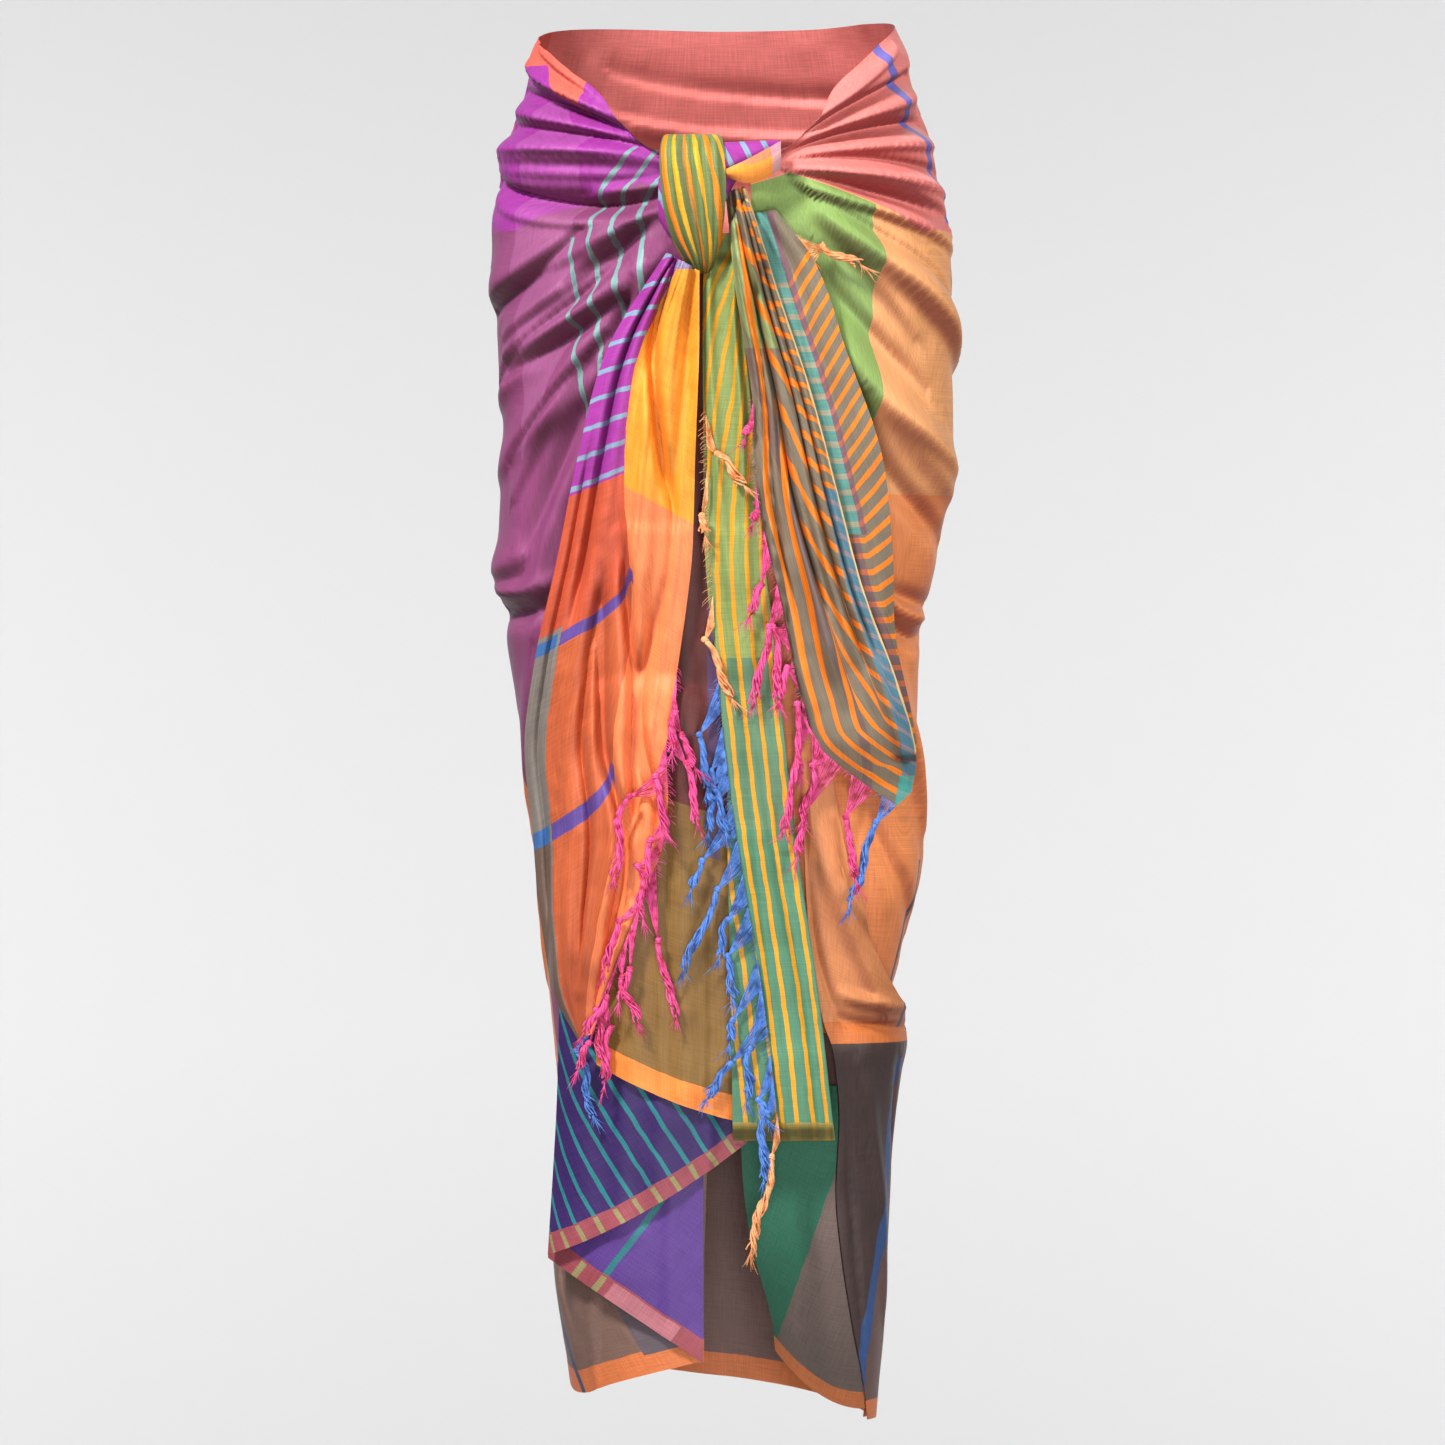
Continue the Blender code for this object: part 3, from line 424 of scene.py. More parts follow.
RIGHT_TAIL_FOLDS = [
    (0.16, 0.05, 6, 0.08, 0.0, 0.9),
    (0.52, 0.38, 9, 0.09, 0.0, 0.85),
    (0.74, 0.62, 5, 0.06, 0.0, 0.8),
    (0.92, 0.85, 4, 0.07, 0.0, 1.0),
    (0.33, 0.2, 5, 0.05, 0.0, 0.6),
    (0.5, 0.45, 8, 0.5, 0.0, 1.0),
    (0.2, 0.26, 4, 0.1, 0.0, 0.7),
    (0.34, 0.56, -16, 0.035, 0.0, 0.72),
    (0.52, 0.7, 5, 0.06, 0.0, 0.7),
    (0.64, 0.78, -14, 0.03, 0.0, 0.8),
    (0.82, 0.9, -10, 0.025, 0.0, 0.8),
    (0.14, 0.16, -5, 0.02, 0.1, 0.7),
]
TURN_FOLDS = [
    (0.8, 0.7, 4, 0.22, 0.0, 1.0),
    (0.4, 0.35, 2, 0.08, 0.0, 1.0),
]
# The place of the warp stripe between magenta and yellow, as a share of the left tail's width
# from its top to its end, and its place on the flat cloth. The hem stripes tilt beside it, and
# low on the tail they bend up where they meet it.
LEFT_TAIL_SPLIT = [0.40, 0.33, 0.36, 0.47, 0.61, 0.63, 0.62, 0.62, 0.62, 0.62]
TAIL_STRIPE = 60
TAIL_TILT_LEFT = 0.4
TAIL_TILT_LOW = 0.2
TAIL_TILT_RIGHT = -0.6
TAIL_BEND = 20
TAIL_BEND_WIDTH = 8
TAIL_LOW_FROM = -250
TAIL_LOW_TO = -310
# Stripes across the turned part of the right tail rise beside its teal edge, less so low down
TEAL_EDGE = 12
STRIPES_RISE = 1.1
STRIPES_RISE_LESS = 0.5
# The right tail's stripes run along its fringed edge. In each valley between two folds some of
# the cloth is out of sight, so the distance from that edge leaps there: places at top and end
RIGHT_TAIL_VALLEYS = [(0.34, 0.56), (0.64, 0.78), (0.82, 0.9)]
VALLEY_WIDTH = 0.004
SELVEDGE_SPARE = 12

# The knot's roll, from its left end to its right end: x, y, z, half height, half depth
KNOT_ROLL = [
    (-50, -129, -30, 16, 4.5),
    (-40, -133, -30, 30, 7.5),
    (-22, -137, -30, 42, 11.5),
    (-4, -137, -16, 30, 10.5),
    (12, -134, 0, 15, 7.5),
    (30, -131, 4, 12, 7.5),
    (44, -127, 9, 8, 4.5),
]
# The knot's band from behind the top over the front to behind the bottom:
# x of the left edge, x of the right edge, y, z
KNOT_BAND = [
    (-38, -6, -127, 13),
    (-42, -4, -133, 19),
    (-46, -1, -145, 17),
    (-48, 1, -154, 2),
    (-47, 2, -157, -20),
    (-44, 1, -157, -42),
    (-38, -2, -154, -62),
    (-29, -6, -148.6, -78),
    (-24, -10, -142.6, -86),
    (-23, -12, -137.6, -87),
]
# Its folds, in the columns of the falls' folds
BAND_FOLDS = [
    (0.1, 0.16, 3.0, 0.06, -0.2, 1.3),
    (0.27, 0.34, 4.0, 0.07, -0.2, 1.3),
    (0.46, 0.5, 3.2, 0.05, -0.2, 1.3),
    (0.6, 0.66, 4.2, 0.06, -0.2, 1.3),
    (0.78, 0.8, 3.0, 0.05, -0.2, 1.3),
    (0.93, 0.9, 3.6, 0.05, -0.2, 1.3),
]
BAND_EDGE = 7.5
# Its stripes: how wide the cloth in it lies, and how they lean and sway down its length
BAND_WIDTH = 56
BAND_LEAN = -14
BAND_SWAY = 5
# The orange tuck over the roll: x, lower z, upper z, y
KNOT_TUCK = [
    (3, -13, -8, -148),
    (19, -18, 0, -146),
    (33, -14, 8, -141),
    (45, -6, 15, -135),
]

# Tassels: x and z of the root's middle on the edge, of the knot and of the loose end
PINK_LEFT = [
    (-26, -410, -37, -429, -39, -458),
    (-38, -444, -28, -468, -20, -512),
    (-44, -480, -72, -494, -84, -556),
    (-44, -515, -56, -528, -59, -560),
    (-54, -560, -50, -606, -36, -664),
    (-66, -590, -72, -628, -80, -652),
    (-84, -630, -90, -650, -108, -678),
    (-94, -656, -87, -674, -92, -718),
]
BLUE_LEFT = [
    (-112, -683, -114, -692, -101, -742),
]
PEACH_CENTRE = [
    (-12, -210, -4, -228, 16, -252),
    (-10, -250, -16, -276, -14, -290),
    (-6, -350, -14, -372, 6, -416),
]
BLUE_CENTRE = [
    (-2, -416, -18, -446, -12, -486),
    (0, -450, -9, -474, -10, -500),
    (4, -476, -8, -500, -11, -521),
    (8, -512, -16, -544, -24, -565),
    (12, -540, -4, -566, -30, -628),
    (20, -592, 4, -618, 8, -650),
    (28, -632, 8, -668, 6, -684),
    (36, -668, 6, -702, -12, -728),
    (42, -706, 28, -730, 34, -744),
]
PEACH_TIP = [
    (46, -752, 38, -774, 22, -849),
]
PINK_RIGHT = [
    (25, -200, 20, -208, 18, -214),
    (26, -262, 26, -274, 24, -280),
    (44, -340, 36, -362, 24, -420),
    (58, -400, 50, -394, 44, -418),
    (64, -432, 60, -456, 48, -520),
    (84, -464, 64, -506, 58, -538),
    (108, -484, 96, -510, 104, -560),
]
BLUE_RIGHT = [
    (132, -500, 120, -514, 100, -580),
]
PEACH_HIP = [
    (66, -68, 78, -66, 107, -80),
]
# More locks between those, which only show here
PINK_LEFT_MORE = [
    (-30, -424, -32, -446, -22, -470),
    (-42, -462, -52, -478, -44, -520),
    (-47, -536, -66, -548, -62, -588),
    (-60, -576, -80, -590, -92, -628),
    (-76, -612, -78, -634, -66, -668),
    (-90, -648, -98, -660, -94, -698),
    (-101, -672, -104, -686, -112, -706),
]
BLUE_CENTRE_MORE = [
    (2, -464, -8, -486, 2, -520),
    (16, -566, 4, -590, -2, -618),
    (33, -650, 22, -690, 20, -728),
    (44, -724, 34, -740, 32, -792),
]
PINK_RIGHT_MORE = [
    (34, -300, 30, -330, 22, -352),
    (50, -372, 39, -362, 44, -420),
    (72, -450, 58, -422, 60, -474),
    (76, -456, 70, -470, 62, -512),
]
# A tassel: width of its fan and its threads, the lock's radius, the length of one twist, its
# threads, the bead that stands for its knot, and the loose ends. Radii are in millimetres.
TASSEL_FAN = 23
FAN_THREADS = 24
FAN_THREAD_RADIUS = 0.36
LOCK_RADIUS = 2.7
LOCK_TWIST = 38.0
LOCK_THREADS = 12
LOCK_THREAD_RADIUS = 1.0
BEAD_HALF_LENGTH = 2.6
BEAD_RADIUS = 2.1
LOOP_RADIUS = 2.3
LOOP_THREAD_RADIUS = 0.75
LOOSE_ENDS = 13
LOOSE_END_RADIUS = 0.45
FUZZ_EVERY = 2.2
FUZZ_RADIUS = 0.22
FRINGE_SPARE = 14


def columns(table):
    """The named columns of a table as arrays."""
    return np.array(table, float).T


def smooth(stations, values, at):
    """Values on a smooth curve through the stations: a cubic between each two, whose slope
    at a station comes from its neighbours."""
    stations = np.asarray(stations, float)
    values = np.asarray(values, float)
    slopes = np.gradient(values, stations)
    at = np.clip(at, stations[0], stations[-1])
    cell = np.clip(np.searchsorted(stations, at) - 1, 0, len(stations) - 2)
    span = stations[cell + 1] - stations[cell]
    f = (at - stations[cell]) / span
    start = (1 + 2 * f) * (1 - f) ** 2 * values[cell]
    end = (3 - 2 * f) * f ** 2 * values[cell + 1]
    start_slope = f * (1 - f) ** 2 * slopes[cell]
    end_slope = f ** 2 * (1 - f) * slopes[cell + 1]
    return start + end + span * (start_slope - end_slope)


def step_between(low, high, at):
    """A smooth step from 0 at low to 1 at high: 3f^2 - 2f^3."""
    f = np.clip((at - low) / (high - low), 0, 1)
    return f * f * (3 - 2 * f)


def between(start, end, share):
    """The straight blend of two values: start where the share is 0, end where it is 1."""
    return start * (1 - share) + end * share


def form_width(aside, height):
    """Half width of the form at a height, on the side that the sign of aside names."""
    z, left, right, front, back = columns(FORM)
    return np.where(aside < 0, smooth(-z, left, -height), smooth(-z, right, -height))


def on_form(turn, height, out=0.0):
    """Points on the wrapped form: at each height a rounded oval, its four quarters with
    their own half widths and depths, moved out by a distance."""
    z, left, right, front, back = columns(FORM)
    sine = np.sin(np.radians(turn))
    cosine = np.cos(np.radians(turn))
    wide = form_width(sine, height) + out
    deep = np.where(cosine > 0, smooth(-z, front, -height), smooth(-z, back, -height)) + out
    power = 2 / ROUNDNESS
    x = np.sign(sine) * np.abs(sine) ** power * wide
    y = -np.sign(cosine) * np.abs(cosine) ** power * deep
    return np.stack([x, y, height + 0 * x], axis=-1)


def form_front(x, height):
    """Depth y of a hanging cloth that passes in front of the form, fuller at its sides."""
    z, left, right, front, back = columns(FORM)
    share = np.clip(np.abs(x) / (form_width(x, height) * HANGING_WIDER), 0, HANGING_REACH)
    return -smooth(-z, front, -height) * (1 - share ** HANGING_ROUND) ** (1 / HANGING_ROUND)


def soft_noise(a, b, size, seed):
    """Smooth uneven relief from -1 to 1: random heights on a square lattice of that size,
    blended between its corners with the smooth step."""
    lattice = np.random.default_rng(seed).uniform(-1, 1, (LATTICE, LATTICE))
    a = np.asarray(a) / size + LATTICE_MARGIN
    b = np.asarray(b) / size + LATTICE_MARGIN
    i = np.floor(a).astype(int)
    j = np.floor(b).astype(int)
    fa = a - i
    fb = b - j
    fa = fa * fa * (3 - 2 * fa)
    fb = fb * fb * (3 - 2 * fb)
    i_next = (i + 1) % LATTICE
    j_next = (j + 1) % LATTICE
    i = i % LATTICE
    j = j % LATTICE
    low = between(lattice[i, j], lattice[i_next, j], fa)
    high = between(lattice[i, j_next], lattice[i_next, j_next], fa)
    return between(low, high, fb)


def front_turn(x, height):
    """The turn at which the form's front has a place x at a height."""
    share = np.clip(np.abs(x) / form_width(x, height), 0, 1) ** (ROUNDNESS / 2)
    return np.sign(x) * np.degrees(np.arcsin(share))


def turned_lines(table):
    """A table of creases given in x and z as one in turns and heights."""
    rows = np.array(table, float)
    for column in (0, 2, 4):
        rows[:, column] = front_turn(rows[:, column], rows[:, column + 1])
    return rows


def fold_relief(turn, height, table):
    """Height of the folds at places on the wrap: each fold is a ridge or a valley along a
    bent line in the unrolled cloth, strongest in its middle and steeper where it faces down."""
    relief = 0 * turn
    step = np.linspace(0, 1, CREASE_STEPS)
    for t0, z0, t1, z1, t2, z2, fold_height, half_width in table:
        bend_t = 2 * t1 - (t0 + t2) / 2
        bend_z = 2 * z1 - (z0 + z2) / 2
        line_t = (1 - step) ** 2 * t0 + 2 * step * (1 - step) * bend_t + step ** 2 * t2
        line_z = (1 - step) ** 2 * z0 + 2 * step * (1 - step) * bend_z + step ** 2 * z2
        low = line_z.min() - CREASE_REACH * half_width
        high = line_z.max() + CREASE_REACH * half_width
        near = (height > low) & (height < high)
        aside = (turn[near][:, None] - line_t + 180) % 360 - 180
        away = (aside * GIRTH_PER_DEGREE) ** 2 + (height[near][:, None] - line_z) ** 2
        # The nearest place on the bent line is found between its steps by a parabola
        nearest = np.clip(away.argmin(axis=-1), 1, len(step) - 2)
        pick = np.arange(len(nearest))
        before = away[pick, nearest - 1]
        at = away[pick, nearest]
        after = away[pick, nearest + 1]
        shift = np.clip((before - after) / (2 * (before + after - 2 * at) + 1e-9), -1, 1)
        closest = np.maximum(at - 0.25 * (before - after) * shift, 0)
        place = step[nearest] + shift * step[1]
        # Its height is about a third at its two ends
        fade = np.sin(np.pi * (0.12 + 0.76 * np.clip(place, 0, 1)))
        along_t = np.gradient(line_t)[nearest] * GIRTH_PER_DEGREE
        along_z = np.gradient(line_z)[nearest]
        side = along_t * (height[near] - line_z[nearest]) \
            - along_z * aside[pick, nearest] * GIRTH_PER_DEGREE
        below = side * np.sign(t2 - t0) * np.sign(fold_height) < 0
        width = np.where(below, max(half_width * LEE, NARROWEST), half_width * WEATHER)
        relief[near] += fold_height * fade * np.exp(-closest / width ** 2)
    return relief


def outward(grid):
    """Unit normals of a grid of points, from its two directions."""
    normal = np.cross(np.gradient(grid, axis=0), np.gradient(grid, axis=1))
    return normal / np.linalg.norm(normal, axis=-1, keepdims=True)


class Cover:
    """The front of all the cloth laid so far, as a depth for each small cell of x and z."""

    CELL = 2.0
    LOW = np.array([-216.0, -1030.0])
    SIZE = (216, 600)
    BARE = -20.0

    def __init__(self):
        self.depth = np.full(self.SIZE, self.BARE)

    def lay(self, grid):
        """Adds a laid surface, filled in between its points."""
        share = np.linspace(0, 1, 4)
        u = share[None, None, :, None, None]
        v = share[None, None, None, :, None]
        top = grid[:-1, :-1, None, None] * (1 - u) + grid[:-1, 1:, None, None] * u
        low = grid[1:, :-1, None, None] * (1 - u) + grid[1:, 1:, None, None] * u
        points = (top * (1 - v) + low * v).reshape(-1, 3)
        cell = ((points[:, [0, 2]] - self.LOW) / self.CELL).astype(int)
        cell = np.clip(cell, 0, np.array(self.SIZE) - 1)
        np.minimum.at(self.depth, (cell[:, 0], cell[:, 1]), points[:, 1])

    def front(self, x, z, reach):
        """The frontmost depth within a reach of each place, blurred over the same reach, so
        that it stays in front of what lies there and has no steps."""
        cells = int(np.ceil(reach / self.CELL))
        near = self.depth
        for axis in (0, 1):
            turns = range(-cells - 1, cells + 2)
            near = np.min([np.roll(near, k, axis=axis) for k in turns], axis=0)
        half = max(cells // 2, 1)
        for axis in (0, 1, 0, 1):
            near = np.mean([np.roll(near, k, axis=axis) for k in range(-half, half + 1)], axis=0)
        a = np.clip((x - self.LOW[0]) / self.CELL - 0.5, 0, self.SIZE[0] - 2)
        b = np.clip((z - self.LOW[1]) / self.CELL - 0.5, 0, self.SIZE[1] - 2)
        i = a.astype(int)
        j = b.astype(int)
        fa = a - i
        fb = b - j
        left = between(near[i, j], near[i, j + 1], fb)
        right = between(near[i + 1, j], near[i + 1, j + 1], fb)
        return between(left, right, fa)


def softly_in_front(depth, limit, softness=2.0):
    """The smaller of two depths, with their meeting rounded off."""
    return (depth + limit - np.sqrt((depth - limit) ** 2 + softness ** 2)) / 2


def edge_height(turn, column):
    """Height of the waist edge (column 1) or the hem (column 2) at a turn."""
    table = columns(EDGES)
    return smooth(table[0], table[column], (turn + 180) % 360 - 180)


def wrap_surface():
    """The whole wrap, from its right front edge round the back to its left front edge, with
    the turn and the height at each point. Rows lie closer together at the top, where the
    pleats are. The turn at the front edges depends on the height and the height on the turn,
    so each is found from the other a few times."""
    z, left, right = columns(FRONT_EDGES)
    share = np.concatenate([
        np.linspace(0, 1, RIGHT_COLS),
        np.linspace(1, 2, BACK_COLS)[1:],
        np.linspace(2, 3, LEFT_COLS)[1:],
    ])[None, :]
    down = np.linspace(0, 1, WRAP_ROWS)[:, None] ** ROW_CROWDING
    height = 100 - 1060 * down + 0 * share
    for _ in range(4):
        start = smooth(-z, right, -height)
        stop = 360 + smooth(-z, left, -height)
        turn = np.where(share < 1, start + (SIDE_SEAM - start) * share, 0)
        turn = np.where((share >= 1) & (share <= 2),
                        SIDE_SEAM + (360 - 2 * SIDE_SEAM) * (share - 1), turn)
        turn = np.where(share > 2, 360 - SIDE_SEAM + (stop - 360 + SIDE_SEAM) * (share - 2), turn)
        top = edge_height(turn, 1)
        height = top + (edge_height(turn, 2) - top) * down
    relief = fold_relief(turn, height, WRAP_FOLDS) + fold_relief(turn, height, BACK_CREASES)
    relief = relief + FRONT_DEPTH * fold_relief(turn, height, turned_lines(FRONT_CREASES))
    around = turn * GIRTH_PER_DEGREE
    rough = sum(high * soft_noise(around, height, size, seed) for high, size, seed in WRAP_CRUMPLE)
    return on_form(turn, height, relief + rough), turn, height


def gathered(turn, height):
    """Height on the flat cloth for a place on the wrap. The cloth is drawn together at the
    knot, so towards the knot its lines of weft close in on the knot's height."""
    aside = (turn + 180) % 360 - 180
    knot_turn = np.where(aside < 0, *KNOT_TURN)
    knot_height = np.where(aside < 0, *KNOT_HEIGHT)
    away = np.abs(aside - knot_turn) * GIRTH_PER_DEGREE
    spread = np.maximum(1, GATHER_SPREAD / (away + GATHER_NEAREST))
    flat = knot_height + (height - knot_height) * spread
    flat = np.where(height > GATHER_END, np.maximum(flat, GATHER_END), height)
    # Low down the lines of weft follow the hem
    return flat - (edge_height(turn, 2) - LEVEL_HEM) * step_between(-500, -800, height)


def stripe_lean(turn, height):
    """How far round the cloth, in millimetres, a warp stripe on the right side and one low on
    the left side have drifted from their place, because the cloth hangs askew there."""
    z, place = columns(RIGHT_STRIPE)
    there = smooth(-z, place, -height)
    near = np.exp(-((turn - there) / RIGHT_STRIPE_REACH) ** 2)
    right = (RIGHT_STRIPE_AT - there * GIRTH_PER_DEGREE) * near
    low = np.clip((DRIFT_TOP - height) / DRIFT_HEIGHT, 0, 1)
    return right - LEFT_DRIFT * low * step_between(240, 270, turn)


def run_along(line):
    """Distance of each point of a line from its first one, along the line."""
    return np.concatenate([[0], np.cumsum(np.linalg.norm(np.diff(line, axis=0), axis=1))])


def shares(rows, cols):
    """The two shares of a grid: down it as a column and across it as a row, each 0 to 1."""
    return np.linspace(0, 1, rows)[:, None], np.linspace(0, 1, cols)[None, :]


def fall_base(sections, rows, cols, hem_bow=0.0):
    """Places x and z of a flat fall or tail, how far it stands off, and its two shares: down
    and across. Sections go from edge to edge, and the hem may bow down in its middle."""
    left_x, left_z, right_x, right_z, off = columns(sections)
    middle = np.stack([(left_x + right_x) / 2, (left_z + right_z) / 2], -1)
    length = run_along(middle)
    length = length / length[-1]
    down, across = shares(rows, cols)
    x = between(smooth(length, left_x, down), smooth(length, right_x, down), across)
    z = between(smooth(length, left_z, down), smooth(length, right_z, down), across)
    z = z - hem_bow * 4 * across * (1 - across) * down ** 4
    return x, z, smooth(length, off, down) + 0 * across, down, across


def fold_ridges(down, across, folds):
    """Ridges along a fall or tail, each a soft bell across it that fades at its ends."""
    relief = 0 * down * across
    for at_top, at_end, fold_height, half_width, start, end in folds:
        place = at_top + (at_end - at_top) * down
        fade = step_between(end, end - RIDGE_FADE, down)
        if start > 0:
            fade = step_between(start, start + RIDGE_FADE, down) * fade
        relief = relief + fold_height * fade * np.exp(-((across - place) / half_width) ** 2)
    return relief


def hang(cover, sections, folds, rows, cols, hem_bow=0.0, reach=6.0, crumple=0.8, seed=1):
    """Points of a fall or tail: it lies in front of the form and of the cloth laid before,
    whichever comes further forward, and its folds rise from there."""
    x, z, off, down, across = fall_base(sections, rows, cols, hem_bow)
    limit = cover.front(x, z, reach) - LAYER_GAP
    floor = softly_in_front(form_front(x, z) - 0.6 * off, limit)
    ridges = np.maximum(fold_ridges(down, across, folds), 0)
    rough = crumple * (soft_noise(x, z, 31, seed) + 1) + 0.3 * (soft_noise(x, z, 11, seed + 1) + 1)
    return np.stack([x, floor - ridges - rough, z], -1), down, across


def add_mesh(name, points, faces, material, corner_uv=None, normals=None):
    """A smooth mesh from points in millimetres and its faces, with its material, the place
    on the flat cloth as its UV map, and its normals where they are given."""
    mesh = bpy.data.meshes.new(name)
    mesh.from_pydata((points * MM), [], faces)
    mesh.materials.append(material)
    mesh.shade_smooth()
    if corner_uv is not None:
        layer = mesh.uv_layers.new(name="cloth")
        corner = np.empty(len(mesh.loops), dtype=np.int32)
        mesh.loops.foreach_get("vertex_index", corner)
        layer.uv.foreach_set("vector", (corner_uv * MM)[corner].astype(np.float32).ravel())
    if normals is not None:
        mesh.normals_split_custom_set_from_vertices(normals.tolist())
    mesh.update()
    piece = bpy.data.objects.new(name, mesh)
    bpy.context.scene.collection.objects.link(piece)
    return piece


def cloth(name, grid, u, v, material, node, normal=None):
    """A stretch of cloth: a closed thin wall about a grid of points. u and v are its places on
    the flat cloth."""
    rows, cols = grid.shape[:2]
    normal = outward(grid) if normal is None else normal
    inner = grid + INNER_FACE * normal
    outer = grid + OUTER_FACE * normal
    index = np.arange(rows * cols).reshape(rows, cols)
    quads = np.stack([index[:-1, :-1], index[:-1, 1:], index[1:, 1:], index[1:, :-1]], -1)
    quads = quads.reshape(-1, 4)
    rim = np.concatenate([index[0, :-1], index[:-1, -1], index[-1, :0:-1], index[:0:-1, 0]])
    ahead = np.roll(rim, -1)
    lift = rows * cols
    sides = np.stack([rim, rim + lift, ahead + lift, ahead], -1)
    faces = np.concatenate([quads[:, ::-1] + lift, quads, sides])
    points = np.concatenate([inner.reshape(-1, 3), outer.reshape(-1, 3)])
    flat = np.stack([u + 0 * v, v + 0 * u], -1).reshape(-1, 2)
    both = np.concatenate([-normal.reshape(-1, 3), normal.reshape(-1, 3)])
    piece = add_mesh(name, points, faces, material, np.concatenate([flat, flat]), both)
    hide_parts(node)
    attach(piece, "root")
    return piece


def linear(code):
    """An sRGB hex colour as linear red, green, blue and alpha."""
    part = np.array([int(code[i:i + 2], 16) for i in (0, 2, 4)]) / 255
    part = np.where(part <= 0.04045, part / 12.92, ((part + 0.055) / 1.055) ** 2.4)
    return (*part.tolist(), 1.0)


def add_node(tree, kind, inputs=None, **settings):
    """Adds a shader node, applies its settings, and sets or links its inputs."""
    made = tree.nodes.new("ShaderNode" + kind)
    for key, value in settings.items():
        setattr(made, key, value)
    for key, value in (inputs or {}).items():
        if isinstance(value, bpy.types.NodeSocket):
            tree.links.new(value, made.inputs[key])
        else:
            made.inputs[key].default_value = value
    return made


def add_bands(tree, place, bands, low, high):
    """Woven bands along one direction of the cloth: a ramp with hard steps. Each band has
    its start in millimetres and its colour, or None where the cloth below shows."""
    share = add_node(tree, "MapRange", {
        "Value": place, "From Min": low * MM, "From Max": high * MM,
    })
    ramp = add_node(tree, "ValToRGB", {"Fac": share.outputs[0]})
    ramp.color_ramp.interpolation = "CONSTANT"
    stops = ramp.color_ramp.elements
    while len(stops) < len(bands):
        stops.new(0.5)
    for stop, (start, _) in zip(stops, bands):
        stop.position = min(max((start - low) / (high - low), 0), 1)
    for stop, (_, code) in zip(stops, bands):
        stop.color = (0, 0, 0, 0) if code is None else linear(code)
    return ramp


def inside(tree, factor, ways, limits):
    """Keeps a factor only inside some limits in millimetres, each along one direction."""
    for way, low, high in limits:
        above = add_node(tree, "Math", {0: ways[way], 1: low * MM}, operation="GREATER_THAN")
        below = add_node(tree, "Math", {0: ways[way], 1: high * MM}, operation="LESS_THAN")
        for test in (above, below):
            both = {0: factor, 1: test.outputs[0]}
            factor = add_node(tree, "Math", both, operation="MULTIPLY").outputs[0]
    return factor


def repeating(tree, place, first, pitch, width):
    """1 on evenly spaced stripes of a width in millimetres, the first of them at first."""
    aside = add_node(tree, "Math", {0: place, 1: first * MM}, operation="SUBTRACT")
    count = add_node(tree, "Math", {0: aside.outputs[0], 1: pitch * MM}, operation="DIVIDE")
    share = add_node(tree, "Math", {0: count.outputs[0]}, operation="FRACT")
    on = {0: share.outputs[0], 1: width / pitch}
    return add_node(tree, "Math", on, operation="LESS_THAN").outputs[0]


# Handwoven silk and cotton: fine plain weave with the warp and the weft in two colours. Silk
# gives a soft sheen and clear colour, and the uneven hand-spun thread gives slubs and faint
# streaks. Slopes that face down get painted shade: their colour is drawn darker and browner.
# Thread spacing, drawn coarser than the real 0.3 mm so that it shows, and its height
THREAD_DRAWN = 1.5
THREAD_HEIGHT = 0.6
# A slub's length and width, and the spread of the noise that makes it
SLUB_LENGTH = 26.0
SLUB_WIDTH = 1.1
SLUB_LOW = 0.7
SLUB_HIGH = 1.3
SLUB_DARK = 0.78
SLUB_LIGHT = 1.18
# Woven lines waver by up to half of this, over about 22 mm
WAVER = 3.0
WAVER_SCALE = 45.0
# Painted shade: a slope that faces down this much is darkened the most, and one that faces up
# this much has its full colour
DARKEST_SLOPE = -0.62
CLEAR_SLOPE = 0.12


